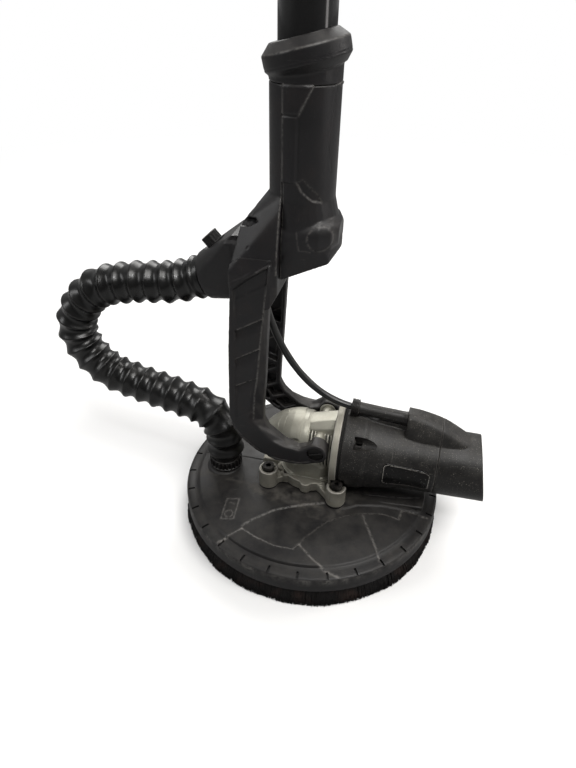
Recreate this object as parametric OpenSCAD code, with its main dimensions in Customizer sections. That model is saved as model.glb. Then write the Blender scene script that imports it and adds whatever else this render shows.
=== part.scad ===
// Pole drywall sander: round sanding head with a motor laid along +X, carried in a
// two-armed yoke on a telescopic dust pole with a handle at its upper end.
// Origin: on the pad spindle axis, at the level of the brush tips. +Z up the spindle
// and the pole, pivot axis along Y. The head's front and the motor's rear end face +X.
// Heights below are measured from a datum plane that lies datum_h above the brush tips.

/* [Head] */
// Outer diameter of the shroud over its skirt
shroud_d = 240; // [236:1:246]
// Height of the datum plane above the brush tips
datum_h = 9.5; // [9:0.1:10]
// Height of the shroud's marked rim above the datum
rim_h = 23.5; // [23:0.5:25]
// Height of the dome's top above the datum
dome_h = 29.5; // [29:0.25:30]
// Diameter of the sanding pad
pad_d = 214; // [205:1:215]
// Slits marked around the rim
slits = 30; // [20:1:36]
// Dust port's centre, along X
port_x = -83; // [-84:0.5:-82]
// Dust port's centre, along Y
port_y = -11; // [-12:0.5:-10]
// Front (+X) mounting posts: distance from the spindle along X
front_x = 29; // [28:0.5:30]
// Front mounting posts: distance from the centre line
front_y = 36; // [35:0.5:37]
// Rear (-X) mounting posts: distance from the spindle along X
rear_x = 35.5; // [35:0.5:36]
// Rear mounting posts: distance from the centre line
rear_y = 28; // [27:0.5:29]

/* [Motor] */
// Height of the motor's axis above the datum
motor_z = 68.5; // [68:0.25:69]
// Radius of the motor housing at its gear end
motor_r = 37.5; // [37:0.25:38]
// Radius of the motor's rear end
motor_rear_r = 29; // [28.5:0.25:29.5]
// Rear end of the motor on its axis, measured from the spindle
motor_end = 151.5; // [148:1:154]
// Slant of the motor's rear end face, in degrees
end_slant = 12; // [8:1:14]

/* [Gears] */
// Teeth on the crown gear
gear_teeth = 37; // [37:1:37]
// Teeth on the motor's pinion
pinion_teeth = 9; // [9:1:9]
// Gear module at the big end
gear_m = 1.1; // [1.0:0.05:1.1]

/* [Yoke] */
// Pivot's distance forward of the spindle
pivot_x = 8.4; // [8:0.1:9]
// Pivot's height above the datum
pivot_z = 84.6; // [84:0.1:85]
// Outer face of each arm from the centre line
arm_out = 38; // [37:0.5:39]
// Inner face of each arm from the centre line
arm_in = 25; // [25:0.1:26]

/* [Pole] */
// Pole axis, measured from the spindle along X
pole_x = -17; // [-18:0.5:-16]
// Outer diameter of the lower tube
tube_d = 36; // [36:1:36]
// Top of the dust outlet above the datum with the pole closed
total_h = 1250; // [1240:5:1260]

/* [Handle] */
// Bottom of the handle shells above the datum
handle_z0 = 890; // [885:1:895]
// Top of the handle shells above the datum
handle_z1 = 1175; // [1170:1:1180]

/* [Hidden] */
$fn = 72;

shroud_r = shroud_d / 2;
pad_r = pad_d / 2;
tube_r = tube_d / 2;
handle_h = handle_z1 - handle_z0;

// ---------- helpers ----------
module on_datum() {
  translate([0, 0, datum_h]) children();
}
// frame whose Z runs along the motor's axis
module at_motor() {
  translate([0, 0, motor_z]) rotate([0, 90, 0]) children();
}
module at_pole(z) {
  translate([pole_x, 0, z]) children();
}
// evenly spaced copies about Z
module around(count, start = 0) {
  for (i = [0 : count - 1]) rotate([0, 0, start + i * 360 / count]) children();
}
// upright cylinder standing at height z
module disc(z, r, h) {
  translate([0, 0, z]) cylinder(r = r, h = h);
}
module ring(z, outer_r, inner_r, h) {
  translate([0, 0, z]) difference() {
    cylinder(r = outer_r, h = h);
    disc(-1, inner_r, h + 2);
  }
}
// cylinder on the motor's axis
module x_rod(x0, x1, r) {
  translate([x0, 0, motor_z]) rotate([0, 90, 0]) cylinder(r = r, h = x1 - x0);
}
module y_rod(x, z, y0, y1, r) {
  translate([x, y0, z]) rotate([-90, 0, 0]) cylinder(r = r, h = y1 - y0);
}
// one cylinder on the pivot axis at each side
module pivot_rods(y0, y1, r) {
  for (s = [-1, 1]) y_rod(pivot_x, pivot_z, s > 0 ? y0 : -y1, s > 0 ? y1 : -y0, r);
}
// block centred on Y
module block(x, z, size) {
  translate([x, -size[1] / 2, z]) cube(size);
}
// mirrored pair of blocks whose inner faces lie at +y and -y
module side_blocks(x, y, z, size) {
  for (s = [-1, 1]) translate([x, s > 0 ? y : -y - size[1], z]) cube(size);
}
module posts() {
  for (s = [-1, 1]) {
    translate([front_x, s * front_y, 0]) children();
    translate([-rear_x, s * rear_y, 0]) children();
  }
}

// ---------- shroud ----------
post_hole_r = 3.2;
port_r = 12.5;

// [radius, height]: underside outwards, skirt, then back over the rim and the dome
shroud_profile = [
  [26, dome_h - 3], [60, dome_h - 3], [104, rim_h - 2], [shroud_r - 7.6, rim_h - 3.2],
  [shroud_r - 3, rim_h - 6], [shroud_r - 3, 8], [shroud_r, 8], [shroud_r, rim_h - 3],
  [shroud_r - 1, rim_h - 1.2], [shroud_r - 3.4, rim_h], [shroud_r - 11, rim_h],
  [shroud_r - 12, rim_h + 1.6], [90, rim_h + 4.2], [66, dome_h], [26, dome_h]];

module at_port() {
  translate([port_x, port_y, 0]) children();
}
module shroud() color([0.13, 0.13, 0.13]) on_datum() difference() {
  union() {
    rotate_extrude($fn = 120) polygon(shroud_profile);
    // port for the dust hose
    at_port() disc(24, port_r, 17.5);
    // raised flat deck under the motor
    intersection() {
      block(40, 22, [70, 62, dome_h - 22]);
      disc(20, shroud_r - 9, 20);
    }
  }
  at_port() disc(10, port_r - 2, 40);
  around(slits) block(shroud_r - 7.5, rim_h - 0.8, [7, 1.4, 5]);
  posts() disc(10, post_hole_r, 30);
  // opening for the spindle
  disc(0, 25.9, 60);
}
module mount_bushes() color([0.07, 0.07, 0.07]) on_datum() posts()
  ring(dome_h, 8.5, post_hole_r, 2);

// ---------- gear case ----------
flange_x0 = 21;                // gear-side face of the flange
flange_x1 = 27.1;              // motor-side face of the flange
house_x0 = 30;                 // gear end of the plastic motor housing
motor_screw_r = 33;            // radius of the motor screws' pattern
plate_z = dome_h + 2.5;        // underside of the bearing plate
plate_t = 10;
post_seat_z = dome_h + 18;     // seat of the post screws' heads
low_bearing_z = 35;
low_bearing_r = 16;
top_bearing_r = 7.5;
gear_room_r = 22.9;
gear_room_z1 = 65.5;           // ceiling over the crown gear
case_half_w = 24.4;            // half width of the gear housing

// bearing plate's arms: [post end x, y, inner end x, y, inner end radius]
plate_arms = [
  [front_x - 2, front_y, 14, 24, 6],
  [-rear_x, rear_y, -20, 15, 8]];

module motor_bolts() {
  for (a = [45 : 90 : 315])
    translate([0, motor_screw_r * cos(a), motor_z + motor_screw_r * sin(a)]) children();
}
module bolt_rods(x0, x1, r) {
  motor_bolts() translate([x0, 0, 0]) rotate([0, 90, 0]) cylinder(r = r, h = x1 - x0);
}
// bearing bore, screw holes and room around the front post screws' heads, shared by
// the flange, the gasket and the housing
module joint_holes() {
  x_rod(10, 50, 11.02);
  bolt_rods(10, 50, 2.6);
  for (s = [-1, 1]) translate([front_x, s * front_y, 30]) {
    cylinder(r = 9.3, h = 20.2);
    cylinder(r = 6, h = 27);
  }
}

module bearing_plate() color([0.66, 0.65, 0.6]) on_datum() difference() {
  union() {
    difference() {
      union() {
        disc(plate_z, 31, plate_t);
        // lobes around the rim
        around(6, 30) translate([29, 0, 0]) disc(plate_z, 5.5, plate_t);
      }
      block(flange_x0, 0, [60, 100, 100]);
    }
    posts() disc(dome_h + 2, 8.8, 18);
    // arms to the posts
    for (s = [-1, 1], arm = plate_arms) hull() {
      translate([arm[0], s * arm[1], 0]) disc(dome_h + 3.3, 6.5, 7, $fn = 32);
      translate([arm[2], s * arm[3], 0]) disc(dome_h + 3.3, arm[4], 7, $fn = 32);
    }
    // rear lug
    block(-46, plate_z, [30, 18, plate_t]);
  }
  // lower bearing seat and spindle passage
  disc(low_bearing_z, low_bearing_r, 20);
  disc(20, 9, 30);
  // room for the motor
  x_rod(flange_x0, 80, motor_r + 1.5);
  posts() {
    disc(20, post_hole_r, 60);
    disc(post_seat_z, 6.2, 10);
  }
}

module gear_housing() color([0.74, 0.73, 0.68]) on_datum() difference() {
  union() {
    disc(42, 29, 16);
    disc(57, case_half_w, 12);
    // tapered nose over the crown gear
    intersection() {
      hull() {
        translate([-10, 0, 58]) scale([1.06, 0.72, 1]) sphere(r = 31, $fn = 32);
        translate([2, 0, 70]) sphere(r = 22, $fn = 32);
      }
      block(-50, 57, [66, 2 * case_half_w, 60]);
    }
    // neck up to the flange
    x_rod(0, flange_x0, 24.2);
    // top block
    block(-8, 84, [flange_x0 + 8, 30, 15.5]);
    // side bosses at the pivot
    pivot_rods(14, 24.8, 8.5);
    // upright ribs at the sides
    for (x = [-1.5 : 4 : 18.5]) side_blocks(x - 0.8, case_half_w - 4.4, 60, [1.6, 4.4, 17]);
  }
  // flat face towards the flange
  block(flange_x0, 0, [60, 120, 140]);
  // gear chamber
  disc(30, low_bearing_r, 20);
  disc(45, gear_room_r, gear_room_z1 - 45);
  disc(65, 16, 1.5);
  disc(65, 12.5, 5.5);
  // pinion chamber
  x_rod(9, flange_x0 + 2, 9.5);
  // top bearing pocket
  disc(60, top_bearing_r, 21);
  // pivot screw threads
  pivot_rods(14.9, 30, 4);
}

module gear_case_flange() color([0.74, 0.72, 0.68]) on_datum() difference() {
  union() {
    x_rod(flange_x0, flange_x1, motor_r + 1);
    // wider foot at the bottom
    intersection() {
      block(flange_x0, 44, [flange_x1 - flange_x0, 66, 26]);
      x_rod(flange_x0, flange_x1, 41);
    }
  }
  // flat bottom over the base
  block(0, 0, [60, 120, 42.5]);
  disc(30, gear_room_r, gear_room_z1 - 30);
  joint_holes();
}

module post_screws() color([0.05, 0.05, 0.05]) on_datum() posts() difference() {
  union() {
    // socket head, shank and nut
    disc(post_seat_z, 5.2, 5.4);
    disc(21, 2.9, 27);
    disc(22.4, 5.4, 3.9, $fn = 6);
  }
  disc(post_seat_z + 2.5, 2.6, 6, $fn = 6);
}

module spindle() color([0.6, 0.6, 0.62]) on_datum() union() {
  disc(7.7, 10, 14.3);
  disc(22, 8, 13);
  disc(low_bearing_z, 6, 32.5);
  disc(67.5, 4, 13.2);
}
module spindle_bearings() color([0.7, 0.7, 0.72]) on_datum() {
  ring(low_bearing_z, low_bearing_r, 6.03, 8);
  ring(73, top_bearing_r, 4.03, 7.8);
}

// ---------- gears ----------
pinion_r = pinion_teeth * gear_m / 2;   // pitch radii at the big end
crown_r = gear_teeth * gear_m / 2;
cone_angle = atan(pinion_r / crown_r);  // slope of the pitch cone
cone_len = sqrt(pinion_r * pinion_r + crown_r * crown_r);
face_w = 7;                             // face width of the teeth
small_scale = (cone_len - face_w) / cone_len;
crown_bore_r = 6.02;
small_end_z = motor_z - pinion_r * small_scale;  // crown's pitch line at the small end

// [radius, height] of the crown gear's blank
crown_profile = [
  [crown_bore_r, 47], [12, 47], [12, 50], [22.3, 53.5],
  [22.3, motor_z - pinion_r - 1.4], [21, motor_z - pinion_r - 1.2],
  [13, small_end_z - 1.1], [10, small_end_z - 0.6], [crown_bore_r, small_end_z - 0.6]];

// tooth corner: scale towards the cone's apex, rise above the pitch cone, half width
function tooth_point(k, rise, half_w) = [
  k * (cone_len * cos(cone_angle)) + rise * k * sin(cone_angle),
  half_w * k,
  -k * cone_len * sin(cone_angle) + rise * k * cos(cone_angle)];

// straight-sided prism that shrinks towards the cone's apex
module crown_tooth(root_w, tip_w, tip_rise, root_drop) {
  polyhedron(
    points = [for (k = [1, small_scale], corner = [
        [-root_drop, -root_w], [-root_drop, root_w], [tip_rise, tip_w], [tip_rise, -tip_w]])
      tooth_point(k, corner[0], corner[1])],
    faces = [[3, 2, 1, 0], [4, 5, 6, 7], [0, 1, 5, 4], [1, 2, 6, 5], [2, 3, 7, 6], [3, 0, 4, 7]]);
}
module crown_gear() color([0.55, 0.55, 0.56]) on_datum() union() {
  rotate_extrude() polygon(crown_profile);
  translate([0, 0, motor_z]) around(gear_teeth, 180 / gear_teeth)
    crown_tooth(root_w = 0.95, tip_w = 0.42, tip_rise = 0.8, root_drop = 1.6);
}
module pinion() color([0.5, 0.5, 0.52]) on_datum() at_motor() difference() {
  union() {
    // toothed cone, big end away from the spindle
    translate([0, 0, crown_r]) mirror([0, 0, 1])
      linear_extrude(height = crown_r * (1 - small_scale), scale = small_scale) union() {
        circle(r = pinion_r - 1.25, $fn = 27);
        around(pinion_teeth) polygon([
          [pinion_r - 1.5, -0.78], [pinion_r, -0.6], [pinion_r + 0.85, -0.3],
          [pinion_r + 0.85, 0.3], [pinion_r, 0.6], [pinion_r - 1.5, 0.78]]);
      }
    disc(crown_r - 0.1, 3.9, 1);
    disc(crown_r + 0.5, 4.9, 6.5);
  }
  disc(crown_r + 0.6, 3, 20);
}

// ---------- motor's inner parts ----------
shaft_r = 5;         // shaft's middle part
shaft_front_r = 4;   // shaft's part under the fan

module motor_shaft() color([0.62, 0.62, 0.64]) on_datum() union() {
  x_rod(crown_r + 0.6, crown_r + 7, 3);
  x_rod(crown_r + 7, 52, shaft_front_r);
  x_rod(52, 122, shaft_r);
  x_rod(122, 132, 3.5);
}
module armature_core() color([0.35, 0.3, 0.26]) on_datum() difference() {
  union() {
    x_rod(57, 95, 14.5);
    x_rod(52.5, 57, 11);
    x_rod(95, 99.5, 11);
  }
  x_rod(50, 100, shaft_r);
  at_motor() around(12) block(13.4, 56, [3, 1.4, 40]);
}
module commutator() color([0.72, 0.45, 0.25]) on_datum() difference() {
  x_rod(100.5, 116, 10);
  x_rod(100, 118, shaft_r);
  at_motor() around(24) block(9.2, 102, [3, 0.5, 15]);
}
module cooling_fan() color([0.2, 0.2, 0.22]) on_datum() difference() {
  union() {
    x_rod(37.5, 39.5, 28);
    x_rod(39.5, 48, 9);
    at_motor() around(12) block(8, 39, [19.6, 1.6, 9]);
  }
  x_rod(30, 60, shaft_front_r);
}
module motor_bearings() color([0.7, 0.7, 0.72]) on_datum() at_motor() {
  ring(27.9, 11, 4.03, 7);
  ring(123, 9.5, 3.53, 6);
}
module stator() color([0.42, 0.24, 0.14]) on_datum() difference() {
  x_rod(55, 97, 25);
  x_rod(50, 100, 15.3);
  at_motor() around(2, 45) block(14, 50, [8, 18, 60]);
}
module carbon_brushes() color([0.15, 0.15, 0.15]) on_datum()
  side_blocks(105.5, 10.1, motor_z - 3, [6, 12, 6]);
module brush_boxes() color([0.75, 0.6, 0.3]) on_datum() difference() {
  side_blocks(104.1, 12, motor_z - 4.4, [8.8, 13, 8.8]);
  side_blocks(105.4, 11, motor_z - 3.1, [6.2, 12.4, 6.2]);
}

// ---------- motor housing ----------
seam_x = 111;        // joint between housing and end cap
house_wall = 2.6;
waist_x0 = 40;       // the housing narrows between these two stations
waist_x1 = 100;
waist_r = 29.6;      // radius where the narrowing ends
sleeve_x = 36;       // start of the cable sleeve
sleeve_z = 113.2;
cable_tilt = 94.5;   // sleeve's direction, from +Z towards +X and slightly down

// cable hood's slices, 1 mm thick, standing on the motor's axis: [x, width, height]
hood_slices = [
  [81.5, 32, 36], [81.5, 18, 47.5], [106, 18, 43],
  [122, 24, 30], [126, 12, 33.5], [133, 12, 28]];

// radius of the motor housing along its length
function housing_r(x) =
  x < waist_x0 ? motor_r
  : x > waist_x1
    ? waist_r - (x - waist_x1) * (waist_r - motor_rear_r) / (motor_end - waist_x1)
  : motor_r - (motor_r - waist_r) * (1 - cos((x - waist_x0) / (waist_x1 - waist_x0) * 180)) / 2;

// solid of revolution that follows the housing, grown by a radial offset
module house_solid(x0, x1, grow, steps = 8, core_r = 0) {
  at_motor() rotate_extrude() polygon(concat(
    [[core_r, x0]],
    [for (i = [0 : steps]) let (x = x0 + (x1 - x0) * i / steps) [housing_r(x) + grow, x]],
    [[core_r, x1]]));
}
// frame of the motor's slanted rear face
module at_slant() {
  translate([motor_end, 0, motor_z]) rotate([0, -end_slant, 0]) children();
}
module slant_cut() {
  at_slant() block(0, -80, [60, 120, 160]);
}
// part of the cable hood between two stations
module hood(x0, x1) {
  intersection() {
    hull() for (slice = hood_slices) block(slice[0], motor_z, [1, slice[1], slice[2]]);
    block(x0, motor_z, [x1 - x0, 60, 60]);
  }
}
// frame whose Z runs along the cable sleeve
module at_cable(x, z) {
  translate([x, 0, z]) rotate([0, cable_tilt, 0]) children();
}

module motor_housing() color([0.16, 0.16, 0.16]) on_datum() difference() {
  union() {
    difference() {
      house_solid(house_x0, seam_x, 0);
      house_solid(house_x0 + 5, seam_x + 1, -house_wall);
    }
    difference() {
      hood(80, seam_x);
      house_solid(house_x0 + 4, seam_x + 1, -house_wall / 2);
    }
    // seats for the motor screws
    bolt_rods(house_x0, house_x0 + 12, 4.9);
    // saddle under the cable sleeve
    block(house_x0, motor_z + 30, [52, 7, 12]);
    // ring wall behind the stator
    difference() {
      x_rod(97.6, 100, 28.5);
      x_rod(90, 105, 21.5);
    }
  }
  joint_holes();
  bolt_rods(house_x0 + 6, house_x0 + 26, 4.2);
  // sleeve, cable and clip
  at_cable(sleeve_x, sleeve_z) {
    cylinder(r = 6.25, h = 48.1);
    cylinder(r = 4.4, h = 60);
  }
  at_cable(25, 114.05) cylinder(r = 7.7, h = 15);
  // keeps the fan clear
  x_rod(36.8, 50, 28.8);
}
module motor_gasket() color([0.05, 0.05, 0.05]) on_datum() difference() {
  x_rod(flange_x1, house_x0, 35.8);
  joint_holes();
}
module motor_end_cap() color([0.16, 0.16, 0.16]) on_datum() difference() {
  union() {
    difference() {
      house_solid(seam_x, motor_end + 8, 0);
      difference() {
        house_solid(seam_x - 1, motor_end + 5, -house_wall);
        translate([-3, 0, 0]) slant_cut();
      }
      slant_cut();
    }
    difference() {
      hood(seam_x, 134);
      house_solid(seam_x - 1, motor_end - 3, -house_wall / 2);
    }
    // rear bearing's holder
    difference() {
      x_rod(122.5, motor_end - 4, 12);
      x_rod(100, 129.2, 9.5);
    }
  }
  // air slots in the end face
  for (z = [-15 : 6 : 15]) at_slant() block(-5, z - 1.4, [12, 40, 2.8]);
  x_rod(129, 140, 5);
}
module motor_screws() color([0.08, 0.08, 0.08]) on_datum() difference() {
  union() {
    bolt_rods(flange_x0 + 0.3, house_x0 + 6.8, 2.3);
    bolt_rods(house_x0 + 6, house_x0 + 10.5, 4);
  }
  // cross slots
  motor_bolts() {
    block(house_x0 + 8, -3, [6, 1, 6]);
    block(house_x0 + 8, -0.5, [6, 6, 1]);
  }
}
// thin curved plate on the housing's -Y side
module label_plate() color([0.03, 0.03, 0.03]) on_datum() intersection() {
  difference() {
    house_solid(60, 114, 1, steps = 6, core_r = 20);
    house_solid(59, 115, 0.35, steps = 6);
  }
  translate([66.3, -45, motor_z - 9.5]) cube([41, 30, 20]);
}
module cable_sleeve() color([0.08, 0.08, 0.08]) on_datum() at_cable(sleeve_x, sleeve_z)
  ring(0, 6.2, 4.05, 48);
module cable_clip() color([0.07, 0.07, 0.07]) on_datum() at_cable(32, 113.5) difference() {
  ring(0, 7.6, 6.25, 7);
  block(-20, -1, [13.4, 2, 10]);
}
module dust_port_ring() color([0.07, 0.07, 0.07]) on_datum() at_port() difference() {
  union() {
    disc(30.5, 14.6, 10.5);
    around(24) block(14, 33, [1.4, 2.2, 6.5]);
  }
  disc(20, port_r + 0.03, 30);
}

// ---------- pad ----------
pad_plate_z = 1.7;   // underside of the pad plate
foam_z = -6.1;
abrasive_t = 2;

module pad_holes() {
  around(6, 15) translate([70, 0, -10]) cylinder(r = 5, h = 20);
}
module pad_layer(z, h) {
  difference() {
    disc(z, pad_r, h);
    disc(-10, 12, 20);
    pad_holes();
  }
}
module pad_plate() color([0.1, 0.1, 0.1]) on_datum() difference() {
  union() {
    disc(pad_plate_z, pad_r - 2, 3);
    disc(pad_plate_z, 22, 6);
    around(12) block(20, 4, [pad_r - 26, 2.4, 3]);
  }
  disc(-5, 4, 20);
  pad_holes();
}
module foam_pad() color([0.3, 0.3, 0.3]) on_datum() pad_layer(foam_z, pad_plate_z - foam_z);
module abrasive_disc() color([0.62, 0.5, 0.36]) on_datum()
  pad_layer(foam_z - abrasive_t, abrasive_t);
module pad_bolt() color([0.6, 0.6, 0.62]) on_datum() difference() {
  union() {
    disc(-4.1, 9, pad_plate_z + 4.1);
    disc(pad_plate_z, 3.95, 6);
  }
  disc(-7, 4, 5, $fn = 6);
}

// ---------- brush ----------
bristle_top = 8.6;

module brush_holder() color([0.1, 0.1, 0.1]) on_datum()
  ring(bristle_top, shroud_r - 3.35, shroud_r - 9.5, 4.6);
module brush_bristles() color([0.06, 0.06, 0.06])
  ring(0, shroud_r - 3.9, shroud_r - 8.6, datum_h + bristle_top);

// ---------- yoke ----------
arm_inner_t = 7.5;    // thickness of each arm's inner layer
split_x = -26.6;      // joint face between fork and front cover
split_gap = 0.1;
socket_z1 = 363;      // top of the pole socket
socket_r = 23.2;
socket_bore_r = tube_r + 0.03;
duct_r = 15;
duct_tilt = -110;     // hose duct's direction, from +Z towards -X and down
yoke_seat_x = -42;    // seat of the yoke screws' heads

// arm outlines, [x, z]: up to the pivot's eye on the +X edge, round it, then up the -X edge
arm_eye = [for (a = [110 : -20 : -90]) [pivot_x + 10 * cos(a), pivot_z + 10 * sin(a)]];
arm_back = [
  [0, 71], [-11, 69.2], [-27, 70], [-44, 77.8], [-57, 89], [-63.8, 98.5],
  [-67.3, 112], [-65, 178], [-61.6, 228], [-61, 236]];
inner_outline = concat([
  [-32, 240], [-34, 203], [-36.2, 156], [-38.2, 125], [-38.6, 110],
  [-34, 100.6], [-20, 89], [-8, 84.2], [0, 87]], arm_eye, arm_back);
outer_outline = concat([
  [-31.6, 252], [-36.5, 211.5], [-42.5, 159], [-47.3, 133], [-49.4, 112],
  [-44.4, 107], [-30.4, 91.9], [-18, 87.2], [-6, 85.6]], arm_eye, arm_back);

// one layer of an arm, from |y| = y outwards on side s
module arm_layer(s, y, thickness, outline) {
  translate([0, s * y, 0]) rotate([90, 0, 0]) mirror([0, 0, s > 0 ? 1 : 0])
    linear_extrude(height = thickness) polygon(outline);
}
// frames whose Z runs along the screws between fork and cover
module yoke_bolts() {
  for (z = [262, 277], s = [-1, 1]) translate([0, s * 21.4, z]) rotate([0, 90, 0]) children();
}
module knob_place() {
  translate([-83.5, 0, 249.5]) rotate([0, -42, 0]) children();
}
module yoke_cuts() {
  // pole and dust duct
  at_pole(285) cylinder(r = socket_bore_r, h = 100);
  at_pole(256) {
    cylinder(r = duct_r, h = 50);
    sphere(r = duct_r);
  }
  at_pole(252) rotate([0, duct_tilt, 0]) cylinder(r = duct_r, h = 110);
  yoke_bolts() {
    disc(-50, 1.5, 38);
    disc(yoke_seat_x - 48, 3.2, 48);
  }
}
module yoke_fork() color([0.11, 0.11, 0.115]) on_datum() difference() {
  union() {
    for (s = [-1, 1]) {
      arm_layer(s, arm_in, arm_inner_t, inner_outline);
      arm_layer(s, arm_in + arm_inner_t, arm_out - arm_in - arm_inner_t, outer_outline);
    }
    // shoulder between arms and socket
    hull() {
      block(-62, 218, [30, 2 * arm_out - 2, 26]);
      at_pole(292) cylinder(r = 23.4, h = 3, $fn = 32);
      block(-56, 262, [10, 44, 13]);
    }
    // hose port
    hull() {
      translate([-92, 0, 222.3]) rotate([0, duct_tilt, 0]) disc(-2, 19.2, 2, $fn = 32);
      block(-64, 216, [8, 42, 49]);
    }
    // -X half of the pole socket
    at_pole(290) cylinder(r = socket_r, h = socket_z1 - 290);
  }
  // room for the front cover
  block(split_x, 200, [80, 120, 200]);
  yoke_cuts();
  // pivot holes
  pivot_rods(20, 50, 7);
  // release knob seat
  knob_place() {
    disc(-9, 5.04, 30);
    disc(-0.5, 9, 30);
  }
}
module yoke_front_cover() color([0.12, 0.12, 0.125]) on_datum() difference() {
  union() {
    at_pole(262) cylinder(r = socket_r, h = socket_z1 - 262);
    hull() {
      at_pole(288) cylinder(r = 23.4, h = 4, $fn = 32);
      translate([pole_x + 2, 0, 258]) scale([1.17, 1.14, 1]) cylinder(r = 24, h = 6, $fn = 32);
      block(split_x, 238.5, [2, 54, 10]);
      block(-6, 251, [13, 40, 4]);
    }
  }
  block(split_x + split_gap - 100, 200, [100, 120, 200]);
  yoke_cuts();
}
module socket_collar() color([0.12, 0.12, 0.12]) on_datum() difference() {
  union() {
    // slanted lip
    at_pole(378) rotate([0, -13.8, 0]) translate([0, 0, -9.5]) {
      cylinder(r1 = 23.4, r2 = 27.8, h = 5);
      disc(5, 27.8, 8.5);
      translate([0, 0, 13.5]) cylinder(r1 = 27.8, r2 = 21.5, h = 6);
    }
    at_pole(socket_z1) cylinder(r = 23.3, h = 14);
  }
  at_pole(340) cylinder(r = socket_bore_r, h = 80);
  at_pole(socket_z1) block(-50, -40, [100, 100, 40]);
}
module pivot_screws() color([0.07, 0.07, 0.07]) on_datum() difference() {
  union() {
    pivot_rods(15, 34, 3.95);
    pivot_rods(34, 37.2, 6.9);
  }
  side_blocks(pivot_x - 8, 36, pivot_z - 0.6, [16, 2.6, 1.2]);
}
module pivot_bushes() color([0.75, 0.6, 0.3]) on_datum() difference() {
  pivot_rods(25, 33.9, 6.97);
  pivot_rods(20, 40, 4);
}
module yoke_screws() color([0.1, 0.1, 0.1]) on_datum() yoke_bolts() {
  disc(yoke_seat_x, 1.48, 29);
  disc(yoke_seat_x - 2, 3, 2);
}
module hose_release_knob() color([0.08, 0.08, 0.08]) on_datum() knob_place() union() {
  disc(-8.5, 5, 9);
  disc(0, 7, 9);
}

// ---------- hose and cable ----------
// hose's centre line, [x, y, z], from the yoke's port to the shroud's port; it passes
// through all points but the first and last, which only steer its ends
hose_points = [
  [-80, 0, 226], [-93.5, 0, 221.5], [-122, -0.3, 212.6], [-162.3, -1, 207.3],
  [-196, -1.5, 196], [-218, -2.7, 168], [-217, -3.6, 141], [-196, -4.8, 117],
  [-163.3, -6, 106.4], [-128, -7.6, 99.5], [-99, -9, 91], [-84.5, -10.3, 73],
  [port_x, port_y, 43.4], [-84.5, -11.7, 18]];

function bezier(p0, p1, p2, p3, t) =
  pow(1 - t, 3) * p0 + 3 * t * pow(1 - t, 2) * p1 + 3 * t * t * (1 - t) * p2 + t * t * t * p3;
function catmull_rom(p0, p1, p2, p3, t) =
  0.5 * (2 * p1 + t * (p2 - p0) + t * t * (2 * p0 - 5 * p1 + 4 * p2 - p3)
    + t * t * t * (3 * p1 - p0 - 3 * p2 + p3));
function hose_point(t) =
  let (spans = len(hose_points) - 3, i = min(floor(t * spans), spans - 1))
  catmull_rom(hose_points[i], hose_points[i + 1], hose_points[i + 2], hose_points[i + 3],
    t * spans - i);

// one bend from the yoke, then a short straight end in the sleeve
cable_path = concat(
  [for (i = [0 : 15]) bezier([-46, 0, 212], [-40, 0, 172], [-12, 0, 118], [34, 0, 113.4], i / 16)],
  [for (i = [0, 1]) [sleeve_x, 0, sleeve_z] + i / 16 * [20, 0, -1.57]]);

// closed tube swept along a path that stays close to the XZ plane
module sweep(path, r, sides) {
  last = len(path) - 1;
  // two unit vectors across the path at each point
  frames = [for (i = [0 : last]) let (
      run = path[min(i + 1, last)] - path[max(i - 1, 0)],
      along = run / norm(run),
      across = cross([0, 1, 0], along),
      unit = across / norm(across)) [unit, cross(along, unit)]];
  polyhedron(
    points = [for (i = [0 : last], j = [0 : sides - 1]) let (a = j * 360 / sides)
      path[i] + r * (cos(a) * frames[i][0] + sin(a) * frames[i][1])],
    faces = concat(
      [[for (j = [0 : sides - 1]) sides - 1 - j]],
      [[for (j = [0 : sides - 1]) last * sides + j]],
      [for (i = [0 : last - 1], j = [0 : sides - 1])
        let (a = i * sides + j, b = i * sides + (j + 1) % sides)
        for (triangle = [[a, b, b + sides], [a, b + sides, a + sides]]) triangle]));
}
module dust_hose() color([0.05, 0.05, 0.05]) on_datum()
  sweep([for (i = [0 : 30]) hose_point(i / 30)], r = 18, sides = 20);
module head_cable() color([0.06, 0.06, 0.06]) on_datum() sweep(cable_path, r = 3.9, sides = 12);

// ---------- pole ----------
lower_z0 = 286;                  // bottom of the lower tube
lower_z1 = 1030;                 // top of the lower tube
upper_z0 = 505;                  // bottom of the upper tube
outlet_z = 1206;                 // foot of the dust outlet's plug
upper_bore_r = tube_r + 2.08;    // bore of the parts around the upper tube
lever_x = 30;                    // lever's hinge, from the pole's axis
lever_z = 12;                    // lever's hinge, above the upper tube's bottom

module lower_tube() color([0.04, 0.04, 0.045]) on_datum() at_pole(lower_z0)
  ring(0, tube_r, tube_r - 1.6, lower_z1 - lower_z0);
module upper_tube() color([0.05, 0.05, 0.055]) on_datum() at_pole(upper_z0)
  ring(0, tube_r + 2.05, tube_r + 0.05, outlet_z - 1 - upper_z0);
module lock_collar() color([0.1, 0.1, 0.1]) on_datum() at_pole(upper_z0) difference() {
  union() {
    disc(-32, 24, 74);
    disc(-32, 26.5, 8);
    translate([0, 0, 34]) cylinder(r1 = 26.5, r2 = 24, h = 8);
    // ears of the clamp
    block(20, -14, [16, 16, 34]);
  }
  disc(-40, tube_r + 0.1, 50);
  disc(0, upper_bore_r, 100);
  // slot for the lever's eye
  block(24.2, -20, [20, 8.2, 46]);
  y_rod(lever_x, lever_z, -20, 20, 2.5);
}
module lever_pin() color([0.6, 0.6, 0.62]) on_datum() at_pole(upper_z0)
  y_rod(lever_x, lever_z, -7.9, 7.9, 2.5);
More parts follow.
